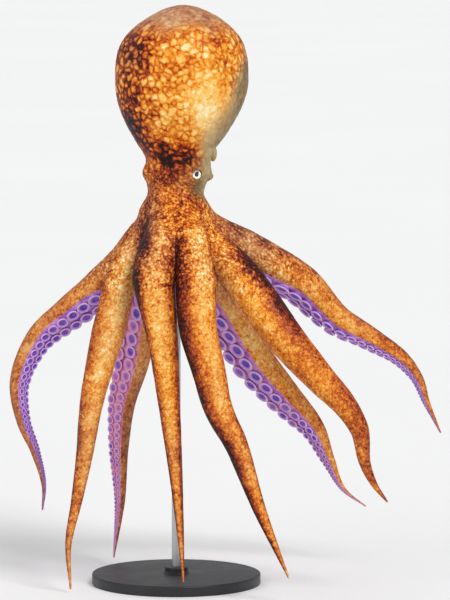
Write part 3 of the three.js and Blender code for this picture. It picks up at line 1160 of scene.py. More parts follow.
    def _body_uv(self, body: Array, normals: Array, faces: Array) -> Array:
        """Places of the body's faces: the outside unrolled, and the underside of the web as seen from below.

        Args:
            body: the body's vertices.
            normals: the skin's normals.
            faces: corner indices, one row for each face.

        Returns:
            Places between 0 and 1, one row for each face corner.
        """
        corner = body[faces]
        face = unit(normals[faces].mean(axis=1))
        middle = corner.mean(axis=1)
        level = unit(middle[:, :2])
        out = face[:, 0] * level[:, 0] + face[:, 1] * level[:, 1]
        under = (out * 0.8 + face[:, 2] * 0.6 < 0.0) & (middle[:, 2] < 428.0)
        turn = np.arctan2(corner[..., 0], corner[..., 1])
        wrapped = turn.max(axis=1) - turn.min(axis=1) > np.pi
        turn = np.where(wrapped[:, None] & (turn < 0), turn + 2 * np.pi, turn)
        around = (turn + np.pi) / (2 * np.pi) / 1.06
        top = np.clip((corner[..., 2] - 600.0) / 50.0, 0, 1)
        radius = np.hypot(corner[..., 0], corner[..., 1])
        height = mix((corner[..., 2] - 290.0) / 430.0, 1.0 - radius / 430.0, ease(top))
        outside = np.stack([0.605 + height * 0.39, 0.29 + around * 0.70], axis=-1)
        below = np.stack([0.80 + corner[..., 0] * 0.00125, 0.14 + corner[..., 1] * 0.0011], axis=-1)
        return np.where(under[:, None, None], below, outside).reshape(-1, 2)

    # ---- what the materials and the relief need to know

    def _colour_facts(self, body: Array, limbs: list[dict], normals: Array) -> None:
        """Works out how light each vertex is, its cobbles, and the washes that lie over them.

        Args:
            body: the body's vertices, which come first.
            limbs: what each free arm knows about its vertices.
            normals: the skin's normals.
        """
        count = len(body)
        p = self.points
        x, z = p[:, 0], p[:, 2]
        nearest, along, found = self.form.nearest_arm(body)
        rows = np.arange(count)
        over, down = found["u"][rows, nearest], found["v"][rows, nearest]
        facing = np.empty((count, 3))
        width = np.empty(count)
        for k, one in enumerate(self.arms):
            here = nearest == k
            facing[here] = one.frame(np.clip(along[here], 0.0, None))[2]
            width[here] = one.width(np.clip(along[here], 0.0, None))
        facing = unit(facing + np.array([0, 0, -0.5]) * ease((60.0 - along) / 60.0)[:, None])
        facing = np.concatenate([facing] + [d["oral"] for d in limbs])
        s = np.concatenate([along] + [d["s"] for d in limbs])
        arm = np.concatenate([nearest] + [d["arm"] for d in limbs])
        turn = np.concatenate([np.arctan2(down, over)] + [d["turn"] for d in limbs])
        side = np.concatenate([np.abs(over) / width] + [
            np.abs(np.cos(d["turn"])) * self.arms[0].section(d["turn"]) for d in limbs])
        is_body = np.arange(len(p)) < count
        free = ease((s - 12.0) / 56.0) * ease((460.0 - z) / 40.0)
        up = ease((z - 440.0) / 50.0)
        front = ease((normals[:, 0] * -0.37 - normals[:, 1] * 0.93 + 0.3) / 0.6)

        def spot(across: float, height: float, wide: float, tall: float) -> Array:
            """A soft oval mark on the front."""
            return np.exp(-((x - across) / wide) ** 2 - ((z - height) / tall) ** 2) * front

        lean = np.sum(normals * facing, axis=1)
        below = np.where(is_body, ease((432.0 - z) / 14.0) * ease((s + 16.0) / 10.0), 1.0)
        fronts = np.isin(arm, (RIGHT_1, LEFT_1, LEFT_2, RIGHT_2))
        limit = mix(0.22, np.where(fronts, 0.35, 0.43), ease((s - 75.0) / 50.0))
        hidden = is_body * ease((side - 0.52) / 0.08) * ease((0.3 - front) / 0.3)
        within = np.maximum(ease((limit - side) / 0.06), hidden)
        self.tone["oral"] = ease((lean - 0.30) / 0.34) * below * within
        self.tone["pink"] = np.array([one.plan.pink for one in self.arms])[arm] * ease((s - 40.0) / 60.0)

        warp = np.stack([fractal_noise(p, 11.0, 40 + axis, 2) for axis in range(3)], axis=1) * 4.0
        coarse, coarse_tone = cells(p + warp, self.cobble, 5)
        medium, medium_tone = cells(p + warp * 0.7, self.granule, 9)
        large = ease(up * 1.3 + fractal_noise(p, 26.0, 91) * 0.6 - 0.2)
        calm = spot(36, 538, 20, 36) * 1.1 + spot(52, 520, 18, 30) + ease((z - 612.0) / 24.0) * 0.45
        calm = np.clip(calm, 0.0, 0.92)
        shown = (1.0 - calm) * ease((z - 300.0) / 60.0)
        self.tone["patch"] = mix(0.55, np.clip(mix(medium, coarse, large) / 0.44, 0.0, 1.0), shown)
        self.tone["patch_tone"] = mix(0.5, mix(medium_tone, coarse_tone, large), shown)
        self.tone["veined"] = np.clip((1.0 - 0.75 * up) * (1.0 - calm), 0.0, 1.0)

        plans = [one.plan for one in self.arms]
        painted_highlight_turn = np.radians(np.array([plan.painted_highlight_turn for plan in plans]))[arm]
        painted_shade_turn = np.radians(np.array([plan.painted_shade_turn for plan in plans]))[arm]
        shade = np.array([plan.shade for plan in plans])[arm] * free
        shade *= 1.0 - 0.8 * (arm == LEFT_2) * ease((s - 145.0) / 80.0)
        # Painted highlight on the side of each arm that faces the light, painted shade on the side away from
        # it, and a thinner painted shade along the opposite edge; partly the arm's own paler ridge and darker
        # edges.
        painted_highlight = np.exp((np.cos(turn - painted_highlight_turn) - 1.0) * 2.8)
        painted_shade = np.exp((np.cos(turn - painted_shade_turn) - 1.0) * 1.9)
        other = np.exp((np.cos(turn - painted_shade_turn - np.pi) - 1.0) * 7.0)
        ragged = fractal_noise(p, 13.0, 31)
        # The arms' painted highlight and painted shade go into the lightness here.
        level = mix(0.57, 0.60, up) + shade * (0.40 * painted_highlight - 0.95 * painted_shade - 0.35 * other)
        lower = ease((s - 190.0) / 120.0)
        level -= free * (
            0.12 * lower + 0.05 * (arm == RIGHT_3) - 0.09 * (arm == RIGHT_2) - 0.14 * (arm == LEFT_4))
        level -= 0.16 * (arm == LEFT_4) * free * ease((150.0 - s) / 50.0)
        # Painted shadow down the left edge of right_1.
        level -= 0.34 * spot(-45, 338, 8, 36) * (arm == RIGHT_1)
        level += 0.08 * fractal_noise(p, 34.0, 11) + 0.05 * (1.0 - up) * ragged
        belly = ease((z - 496.0) / 30.0) * ease((650.0 - z) / 50.0)
        # The left side of the mantle is darker: partly the skin's own darker tone there, and partly painted
        # shade on the side away from the light.
        left_side_tone_and_shade = ease((-x - 12.0) / 44.0 + 0.3 * ragged) * belly
        level -= 0.19 * left_side_tone_and_shade
        level -= 0.20 * spot(-50, 520, 12, 22) + 0.20 * spot(-44, 604, 16, 20)
        # Paler patches on the mantle's front: partly pale skin, and partly a painted highlight where the light
        # falls.
        level += 0.26 * spot(35, 538, 17, 36) + 0.08 * spot(10, 560, 26, 40) + 0.06 * spot(-6, 530, 14, 16)
        band = 482.0 + 0.55 * np.maximum(0.0, -5.0 - x) + 9.0 * ragged
        collar = np.exp(-((z - band) / 12.0) ** 2) * ease((31.0 - x) / 16.0) * front
        level -= 0.40 * collar + 0.27 * spot(-12, 466, 21, 15)
        level -= 0.06 * spot(-24, 430, 12, 30) + 0.34 * spot(-35, 394, 8, 24)
        level += 0.06 * spot(12, 396, 20, 20) - 0.20 * spot(25, 446, 11, 18) - 0.18 * spot(-33, 402, 13, 24)
        self.tone["level"] = np.clip(level, 0.05, 0.95)
        strength = 1.0 + 0.40 * np.clip(left_side_tone_and_shade + collar, 0.0, 1.0)
        self.tone["patch"] = mix(0.55, self.tone["patch"], strength)

        start = mix(0.66, -0.15, ease((z - 540.0) / 100.0))
        placed = unit(p * np.array([1.0, 1.0, 0.0]) - np.array([2.0, 1.0, 0.0])) @ outward(BACK_HEADING)
        turned = mix(normals @ outward(BACK_HEADING), placed, ease((510.0 - z) / 20.0))
        cloud = fractal_noise(p, 30.0, 83)
        cool = ease((z + 26.0 * cloud - 426.0) / 34.0) * ease((start + 0.25 * cloud - turned) / 0.50)
        below_rim = ease((497.0 - z) / 8.0)
        # The olive wash is the underside's own paler colour; its extra darkening where the skin turns further
        # from the back is painted shade.
        shift = mix(-0.04 - 0.12 * ease((0.45 - turned) / 0.5), 0.02, below_rim)
        self.tone["level"] = np.clip(self.tone["level"] + cool * shift, 0.05, 0.95)
        cool += 0.75 * spot(27, 463, 12, 20) + 0.3 * spot(6, 455, 12, 14)
        self.tone["ventral"] = np.clip(cool, 0.0, 1.0)
        ash = ease((z - 612.0 + 12.0 * fractal_noise(p, 24.0, 71)) / 26.0) + 0.55 * spot(-50, 600, 14, 26)
        ash += 0.6 * spot(-27, 432, 12, 34) + 0.5 * spot(-36, 390, 16, 26)
        ash += free * (
            0.02 * (arm == LEFT_4) + 0.45 * (arm == RIGHT_4) + 0.28 * (arm == RIGHT_3)
            + 0.18 * (arm == RIGHT_2) + 0.18 * lower)
        ash += 0.5 * (arm == LEFT_3) * ease((150.0 - s) / 90.0) * ease((455.0 - z) / 20.0)
        edged = np.isin(arm, (LEFT_3, RIGHT_3))
        # Left_3 and right_3 are also greyer on their painted shade side.
        ash += free * (0.10 + 0.20 * fractal_noise(p, 40.0, 77) + 0.55 * painted_shade * edged)
        ash += np.where(is_body, 0.0, ease((150.0 - s) / 60.0) * (arm == LEFT_4) * 0.6)
        self.tone["grey"] = np.clip(ash, 0.0, 1.0)

    def _relief(self, normals: Array) -> None:
        """Raises the cobbled patches and low folds of the skin, and leaves the sucker side nearly smooth.

        Args:
            normals: the skin's normals.
        """
        p = self.points
        calm = np.ones(len(p))
        for side in (1, -1):
            calm *= ease((np.linalg.norm(p - self._eye_front(side), axis=1) - 8.0) / 10.0)
        height = 0.36 * (ease(self.tone["patch"] * 1.5) - 0.6) + 0.26 * fractal_noise(p, 12.0, 61)
        height *= (1.0 - 0.8 * self.tone["oral"]) * calm
        size = np.minimum(1.0, self._thickness() / 16.0)
        self.points = p + normals * (height * size)[:, None]

    def _thickness(self) -> Array:
        """Works out how thick the flesh is under each vertex.

        Returns:
            The arm's width, or a large value on the body.
        """
        widths = [np.full(len(self.points), 60.0)]
        start = len(self.points)
        for arm in reversed(self.arms):
            stations = self._stations(arm)
            rows = np.repeat(np.append(arm.width(stations), [1.6, 0.8]), self.columns)
            block = np.append(rows, 0.8)
            start -= len(block)
            widths[0][start:start + len(block)] = block
        return widths[0]

    def _stations(self, arm: Arm) -> Array:
        """Chooses where along an arm it has a ring of vertices.

        Args:
            arm: the arm.

        Returns:
            Distances along the arm, closer together where it is thin.
        """
        stations = [self.join + self.gap]
        while stations[-1] < arm.length - 0.4:
            row = self.row_share * float(arm.width(stations[-1]))
            stations.append(stations[-1] + max(self.row_least, row))
        return np.minimum(np.array(stations), arm.length)


# ---- suckers


class SuckerSize(Enum):
    """How finely a sucker is made: segments around, and which of the profile's rings are kept."""

    LARGE = (22, (0, 1, 2, 3, 4, 5, 6, 7, 8, 9, 10, 11, 12, 13))
    MEDIUM = (14, (0, 2, 3, 4, 6, 7, 8, 9, 10, 12, 13))
    SMALL = (10, (0, 2, 4, 6, 8, 10, 13))
    TINY = (7, (0, 4, 8, 13))

    @classmethod
    def of(cls, across: float) -> "SuckerSize":
        """Picks the size class of a sucker.

        Args:
            across: its width in millimetres.

        Returns:
            The size class.
        """
        if across > 8.5:
            return cls.LARGE
        if across > 4.5:
            return cls.MEDIUM
        return cls.SMALL if across > 2.2 else cls.TINY


@dataclass
class SuckerRows:
    """Two alternating rows of suckers down one arm.

    Each row of the profile is a radius and a height, as shares of the sucker's half width, and a place for
    its colour, from 0 at the foot by way of the rim to 1 in the middle of the cup.
    """

    arm: Arm
    skin: BVHTree
    share: float = 0.36
    offset: float = 0.205
    pitch: float = 0.53
    first: float = 17.0
    grown: float = 120.0
    least: float = 0.85

    HUE_STEP = 12.9898
    HUE_REACH = 43758.5453
    PROFILE = (
        (0.84, -0.34, 0.00), (0.86, -0.04, 0.10), (0.90, 0.10, 0.22), (0.96, 0.22, 0.34), (1.00, 0.31, 0.42),
        (1.00, 0.37, 0.46), (0.95, 0.42, 0.50), (0.84, 0.41, 0.56), (0.62, 0.30, 0.68), (0.47, 0.25, 0.76),
        (0.39, 0.26, 0.82), (0.31, 0.20, 0.88), (0.24, 0.04, 0.94), (0.0, -0.02, 1.00))

    def _spots(self) -> list[tuple[float, int, float]]:
        """Places the suckers on alternate sides, closer together as the arm thins.

        Returns:
            Distance along the arm, side and width of every sucker.
        """
        spots = []
        s, side = self.first, 1
        while s < self.arm.length - 1.5:
            grown = mix(0.34, 1.0, float(ease((s - 10.0) / (self.grown - 10.0))))
            across = self.share * float(self.arm.width(s)) * grown
            if across < self.least:
                break
            wander = math.sin(s * 1.7 + self.arm.plan.heading) * 0.04
            spots.append((s, side, across * (1.0 + wander)))
            s += across * self.pitch
            side = -side
        return spots

    def build(self) -> bpy.types.Object:
        """Builds the arm's suckers as one piece.

        Returns:
            The suckers.
        """
        points, quads, tris, ring, hue, quad_uv, tri_uv = [], [], [], [], [], [], []
        start = 0
        spots = self._spots()
        grid = math.ceil(math.sqrt(len(spots)))
        for number, (s, side, across) in enumerate(spots):
            centre, tangent, oral, over = (row[0] for row in self.arm.frame(np.array([s])))
            width = float(self.arm.width(s))
            grown = across / (self.share * width)
            aside = side * self.offset * width * mix(0.62, 1.0, min(grown, 1.0))
            above = centre + over * aside + oral * width
            hit, normal, _, far = self.skin.ray_cast(Vector(above), Vector(-oral), 2.0 * width)
            if hit is None or far > 1.3 * width:
                continue
            axis = unit(np.array(normal) * 0.75 + oral * 0.55)
            count, rows = SuckerSize.of(across).value
            first = unit(np.cross(axis, tangent))
            second = np.cross(axis, first)
            turn = 2 * np.pi * np.arange(count) / count
            level = np.cos(turn)[:, None] * first + np.sin(turn)[:, None] * second
            profile = np.array([self.PROFILE[r] for r in rows])
            half = across / 2
            body = [np.array(hit) + level * r * half + axis * h * half for r, h, _ in profile[:-1]]
            body.append(np.array(hit) + axis * profile[[-1, 0], 1, None] * half)
            points.append(np.concatenate(body))
            ring.append(np.append(np.repeat(profile[:-1, 2], count), [1.0, 0.0]))
            own = (math.sin(number * self.HUE_STEP + s) * self.HUE_REACH) % 1.0
            hue.append(np.full(len(points[-1]), own))
            quads.append(tube_quads(len(rows) - 1, count) + start)
            last = (len(rows) - 2) * count
            tris.append(np.concatenate([
                fan(last, count, last + count), fan(0, count, last + count + 1, downward=True)]) + start)
            middle = (np.array([number % grid, number // grid]) + 0.5) / grid
            spread = 0.46 * (1.0 - 0.96 * profile[:, 2]) / grid
            flat = middle + np.stack([np.cos(turn), np.sin(turn)], axis=-1)[None] * spread[:-1, None, None]
            flat = np.concatenate([flat.reshape(-1, 2), [middle, middle]])
            quad_uv.append(flat[quads[-1] - start])
            fans = flat[tris[-1] - start]
            fans[count:, 2] = fans[count:, :2].mean(axis=1)
            tri_uv.append(fans)
            start += len(points[-1])
        name = f"suckers_{self.arm.plan.name}"
        piece = make_piece(name, np.concatenate(points), [np.concatenate(quads), np.concatenate(tris)])
        give(piece, "ring", np.concatenate(ring))
        give(piece, "hue", np.concatenate(hue))
        give_uv(piece, np.concatenate([np.concatenate(group).reshape(-1, 2) for group in (quad_uv, tri_uv)]))
        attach(piece, "root")
        LOG.info("%s: %d suckers", name, len(points))
        return piece


# ---- turned and rounded pieces


def turned(name: str, profile: Array, segments: int, matrix: Matrix | None = None) -> bpy.types.Object:
    """Turns a profile of (radius, height) pairs, from bottom to top, about the upright axis.

    Args:
        name: the piece's name.
        profile: the outline in millimetres; it starts and ends on the axis.
        segments: faces around.
        matrix: where the piece goes, in millimetres.

    Returns:
        The new object.
    """
    turn = 2 * np.pi * np.arange(segments) / segments
    rim = profile[1:-1]
    ring = np.stack([rim[:, :1] * np.cos(turn), rim[:, :1] * np.sin(turn),
                     np.repeat(rim[:, 1:], segments, axis=1)], axis=-1).reshape(-1, 3)
    points = np.concatenate([ring, [[0, 0, profile[0, 1]]], [[0, 0, profile[-1, 1]]]])
    caps = np.concatenate([
        fan(0, segments, len(ring), downward=True), fan((len(rim) - 1) * segments, segments, len(ring) + 1)])
    if matrix is not None:
        grid = np.array(matrix)
        points = points @ grid[:3, :3].T + grid[:3, 3]
    piece = make_piece(name, points, [tube_quads(len(rim), segments), caps])
    piece.data.set_sharp_from_angle(angle=math.radians(32.0))
    return piece


def rounded(corners: list[tuple[float, float, float]], steps: int = 6) -> Array:
    """An outline with rounded corners.

    Args:
        corners: radius, height and fillet of each corner in order.
        steps: points on each fillet.

    Returns:
        The outline's points.
    """
    spots = np.array([c[:2] for c in corners], float)
    out = [spots[0]]
    for k in range(1, len(spots) - 1):
        fillet = corners[k][2]
        before, after = unit(spots[k - 1] - spots[k]), unit(spots[k + 1] - spots[k])
        if fillet <= 0:
            out.append(spots[k])
            continue
        half = math.acos(float(np.clip(before @ after, -1, 1))) / 2
        cut = fillet / math.tan(half)
        for t in np.linspace(0, 1, steps):
            start, end = spots[k] + before * cut, spots[k] + after * cut
            out.append((1 - t) ** 2 * start + 2 * t * (1 - t) * spots[k] + t ** 2 * end)
    out.append(spots[-1])
    return np.array(out)


# ---- eyes


@dataclass
class Eye:
    """An eyeball with a recessed iris and pupil under a clear cornea."""

    form: BodyForm
    side: int
    iris: float = 4.9
    depth: float = 1.1
    cornea_wall: float = 0.25
    segments: int = 48

    DISH = (0.97, 0.9, 0.8, 0.7, 0.6, 0.5, 0.4, 0.3, 0.2, 0.1)

    @staticmethod
    def _arc(radius: float, count: int) -> list[tuple[float, float]]:
        """Outline of the cornea's dome.

        Args:
            radius: the dome's radius.
            count: points on the outline.

        Returns:
            Pairs of radius and height, from the rim up.
        """
        turns = [math.radians(angle) for angle in np.linspace(43, 4, count)]
        return [(radius * math.sin(turn), radius * math.cos(turn)) for turn in turns]

    def _matrix(self) -> Matrix:
        """Works out how the upright eye is carried to its socket.

        Returns:
            The turn and the move, in millimetres.
        """
        axis = Vector(self.form.eye_axis(self.side))
        turn = Vector((0, 0, 1)).rotation_difference(axis).to_matrix().to_4x4()
        return Matrix.Translation(Vector(self.form.eye_centre(self.side))) @ turn

    def build(self) -> list[bpy.types.Object]:
        """Builds the eyeball and its cornea.

        Returns:
            The two pieces.
        """
        name = "left" if self.side == 1 else "right"
        radius = self.form.eye_radius - 0.12
        edge = math.sqrt(radius ** 2 - self.iris ** 2)
        up = [(0.0, -radius)]
        for angle in np.linspace(-84, math.degrees(math.asin(edge / radius)), 22):
            up.append((radius * math.cos(math.radians(angle)), radius * math.sin(math.radians(angle))))
        for share in self.DISH:
            sink = self.depth * (0.25 + 0.75 * math.sqrt(1 - share ** 2)) * 0.5
            up.append((self.iris * share, edge - sink))
        up.append((0.0, edge - self.depth * 0.5))
        ball = turned(f"eyeball_{name}", np.array(up), self.segments, self._matrix())
        local = np.array([v.co for v in ball.data.vertices]) / MM
        flat = (local - self.form.eye_centre(self.side)) @ self._axes().T
        give(ball, "eye_u", flat[:, 0])
        give(ball, "eye_v", flat[:, 1])
        outer = self.form.eye_radius + 0.1
        inside = self._arc(outer - self.cornea_wall, 12)[::-1]
        dome = [(0.0, inside[0][1])] + inside + self._arc(outer, 16) + [(0.0, outer)]
        cornea = turned(f"cornea_{name}", np.array(dome), self.segments, self._matrix())
        for piece in (ball, cornea):
            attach(piece, "root")
            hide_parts(f"eye_{name}")
        cornea.visible_shadow = False
        LOG.info("eye_%s: eyeball and cornea", name)
        return [ball, cornea]

    def _axes(self) -> Array:
        """Works out the eye's own axes.

        Returns:
            The level and the upright axis, one row each.
        """
        axis = self.form.eye_axis(self.side)
        level = unit(np.cross(np.array([0, 0, 1.0]), axis))
        return np.stack([level, np.cross(axis, level)])


# ---- the stand


@dataclass
class Stand:
    """A turned steel disc with a slim rod up to the mouth."""

    radius: float = 95.0
    height: float = 12.0
    edge: float = 2.0
    boss_radius: float = 13.0
    boss_height: float = 7.0
    rod_radius: float = 5.0
    rod_foot: float = 19.35
    rod_top: float = 401.65

    def build(self) -> list[bpy.types.Object]:
        """Builds the base and the rod.

        Returns:
            The base and the rod.
        """
        top = self.height + self.boss_height
        base = turned("base", rounded([
            (0, 0, 0), (self.radius - self.edge * 0.4, 0, 0), (self.radius, self.edge * 0.4, 0.3),
            (self.radius, self.height, self.edge), (self.boss_radius + 2.2, self.height, 0),
            (self.boss_radius, self.height + 2.2, 0), (self.boss_radius, top, 1.2), (6.2, top, 0.3),
            (6.0, top - 0.4, 0), (0, top - 0.4, 0)]), 128)
        rod = turned("rod", rounded([
            (0, self.rod_foot, 0), (self.rod_radius, self.rod_foot, 0), (self.rod_radius, self.rod_top, 1.0),
            (0, self.rod_top, 0)]), 40)
        for piece, node in ((base, "stand_base"), (rod, "stand_rod")):
            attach(piece, "root")
            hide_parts(node)
        LOG.info("stand: base and rod")
        return [base, rod]


# ---- node helpers


def rgb(code: str) -> tuple[float, float, float, float]:
    """Linear colour of a six-digit sRGB code."""
    parts = [int(code[k:k + 2], 16) / 255.0 for k in (0, 2, 4)]
    return tuple(c / 12.92 if c <= 0.04045 else ((c + 0.055) / 1.055) ** 2.4 for c in parts) + (1.0,)


class Graph:
    """Adds and joins nodes in one node tree."""

    def __init__(self, tree: bpy.types.NodeTree) -> None:
        """Starts on a tree.

        Args:
            tree: the tree of a material, a world or a group.
        """
        self.tree = tree

    def add(self, kind: str, inputs: dict | None = None, **settings) -> bpy.types.Node:
        """Adds a node.

        Args:
            kind: the node's type.
            inputs: values or sockets by input name or number.
            settings: the node's own settings.

        Returns:
            The node.
        """
        node = self.tree.nodes.new(kind)
        for key, value in settings.items():
            setattr(node, key, value)
        self.feed(node, inputs or {})
        return node

    def feed(self, node: bpy.types.Node, inputs: dict) -> None:
        """Sets a node's inputs.

        Args:
            node: the node.
            inputs: values or sockets by input name or number.
        """
        for key, value in inputs.items():
            if isinstance(value, bpy.types.NodeSocket):
                self.tree.links.new(value, node.inputs[key])
            else:
                node.inputs[key].default_value = value

    def group(self, tree: bpy.types.NodeTree, **inputs: float) -> bpy.types.Node:
        """Adds a shared effect."""
        return self.add("ShaderNodeGroup", inputs, node_tree=tree)

    def bump(self, height: bpy.types.NodeSocket, strength: float, distance: float) -> bpy.types.NodeSocket:
        """A shading normal from a height; the distance is in metres."""
        return self.add("ShaderNodeBump", {
            "Height": height, "Strength": strength, "Distance": distance}).outputs["Normal"]

    def fact(self, name: str) -> bpy.types.NodeSocket:
        """A number stored at the vertices."""
        return self.add("ShaderNodeAttribute", attribute_name=name).outputs["Fac"]

    def place(self) -> bpy.types.NodeSocket:
        """Position in the object's own metres."""
        return self.add("ShaderNodeTexCoord").outputs["Object"]

    def noise(self, size: float, detail: float = 3.0, rough: float = 0.55, warp: float = 0.0,
              where: bpy.types.NodeSocket | None = None) -> bpy.types.NodeSocket:
        """Cloudy noise with features of about the given size in millimetres."""
        return self.add("ShaderNodeTexNoise", {
            "Vector": where or self.place(), "Scale": 1000.0 / size, "Detail": detail, "Roughness": rough,
            "Distortion": warp}).outputs["Fac"]

    def stirred(self, size: float, amount: float) -> bpy.types.NodeSocket:
        """Pushes positions about, so that patterns laid on them curl.

        Args:
            size: width of the curls in millimetres.
            amount: how far the positions are pushed, in millimetres.

        Returns:
            The pushed position.
        """
        push = self.add("ShaderNodeTexNoise", {"Vector": self.place(), "Scale": 1000.0 / size, "Detail": 2.0})
        shift = self.add(
            "ShaderNodeVectorMath", {0: push.outputs["Color"], 1: (0.5, 0.5, 0.5)}, operation="SUBTRACT")
        return self.add("ShaderNodeVectorMath", {
            0: shift.outputs[0], 1: (amount * MM,) * 3, 2: self.place()}, operation="MULTIPLY_ADD").outputs[0]

    def spots(self, size: float, feature: str = "F1",
              where: bpy.types.NodeSocket | None = None) -> bpy.types.Node:
        """Scattered cells of about the given size in millimetres."""
        return self.add("ShaderNodeTexVoronoi", {
            "Vector": where or self.place(), "Scale": 1000.0 / size}, feature=feature)

    def sway(self, value: bpy.types.NodeSocket, depth: float, middle: float = 0.5) -> bpy.types.NodeSocket:
        """A value as a swing about zero: depth times its distance from the middle."""
        return self.math("MULTIPLY_ADD", value, depth, -depth * middle)

    def total(self, *values: bpy.types.NodeSocket) -> bpy.types.NodeSocket:
        """Adds values up.

        Args:
            values: the values.

        Returns:
            Their sum.
        """
        whole = values[0]
        for value in values[1:]:
            whole = self.math("ADD", whole, value)
        return whole

    def math(self, operation: str, *values: object) -> bpy.types.NodeSocket:
        """Arithmetic on sockets and numbers."""
        return self.add("ShaderNodeMath", dict(enumerate(values)), operation=operation).outputs[0]

    def span(self, value: bpy.types.NodeSocket, low: float, high: float, start: float = 0.0,
             end: float = 1.0) -> bpy.types.NodeSocket:
        """Maps low..high smoothly to start..end."""
        return self.add("ShaderNodeMapRange", {
            "Value": value, "From Min": low, "From Max": high, "To Min": start, "To Max": end},
            interpolation_type="SMOOTHSTEP").outputs["Result"]

    def blend(self, factor: object, a: object, b: object) -> bpy.types.NodeSocket:
        """Mixes two colours; a mix node's colours are its inputs 6 and 7 and its output 2."""
        return self.add("ShaderNodeMix", {0: factor, 6: a, 7: b}, data_type="RGBA").outputs[2]

    def ramp(self, value: bpy.types.NodeSocket, stops: list[tuple[float, str]]) -> bpy.types.NodeSocket:
        """Colours a value.

        Args:
            value: the value.
            stops: places along the value with their colour codes.

        Returns:
            The colour.
        """
        node = self.add("ShaderNodeValToRGB", {"Fac": value})
        band = node.color_ramp.elements
        while len(band) < len(stops):
            band.new(1.0)
        for element, (spot, code) in zip(band, stops):
            element.position = spot
            element.color = rgb(code)
        return node.outputs["Color"]


def new_material(name: str) -> tuple[bpy.types.Material, Graph, bpy.types.Node]:
    """Makes a material with a Principled shader.

    Args:
        name: the material's name.

    Returns:
        The material, its graph and the shader node.
    """
    material = bpy.data.materials.new(name)
    material.use_nodes = True
    shader = next(n for n in material.node_tree.nodes if n.type == "BSDF_PRINCIPLED")
    return material, Graph(material.node_tree), shader


def effect_group(name: str, inputs: dict[str, float], outputs: dict[str, str]) -> tuple:
    """Starts a node group for an effect that several materials share.

    Args:
        name: the group's name.
        inputs: float inputs with their usual values.
        outputs: output names with their socket types.

    Returns:
        The group tree, its graph, its input node and its output node.
    """
    tree = bpy.data.node_groups.new(name, "ShaderNodeTree")
    for key, value in inputs.items():
        tree.interface.new_socket(key, in_out="INPUT", socket_type="NodeSocketFloat").default_value = value
    for key, kind in outputs.items():
        tree.interface.new_socket(key, in_out="OUTPUT", socket_type=kind)
    graph = Graph(tree)
    return tree, graph, graph.add("NodeGroupInput"), graph.add("NodeGroupOutput")


def sucker_side_group() -> bpy.types.NodeTree:
    """Makes the lilac flesh of the arms' sucker side, which the skin and the suckers share.

    Returns:
        The group, which gives a colour and the mottling that it comes from.
    """
    tree, graph, given, out = effect_group(
        "sucker side flesh", {"Pink": 0.0}, {"Color": "NodeSocketColor", "Mottle": "NodeSocketFloat"})
    mottle = graph.noise(9.0, 4.0, 0.62, 0.6)
    violet = graph.ramp(mottle, [(0.28, "7247C8"), (0.42, "9A6AD8"), (0.56, "C392E4"), (0.74, "E8C2F0")])
    pink = graph.ramp(mottle, [(0.28, "C0609A"), (0.42, "E284AE"), (0.56, "F4A6B6"), (0.74, "FFCECB")])
    colour = graph.blend(given.outputs["Pink"], violet, pink)
    graph.feed(out, {"Color": colour, "Mottle": mottle})
    return tree


def fine_grain_group() -> bpy.types.NodeTree:
    """Makes the pores and fine wrinkles of moist skin, as a height.

    Returns:
        The group.
    """
    tree, graph, given, out = effect_group("fine skin grain", {"Wrinkle": 1.0}, {"Height": "NodeSocketFloat"})
    pores = graph.spots(1.3).outputs["Distance"]
    folds = graph.noise(3.2, 4.0, 0.6, 0.8)
    height = graph.math("MULTIPLY_ADD", folds, given.outputs["Wrinkle"], graph.math("MULTIPLY", pores, 0.35))
    graph.feed(out, {"Height": height})
    return tree


# ---- finishes


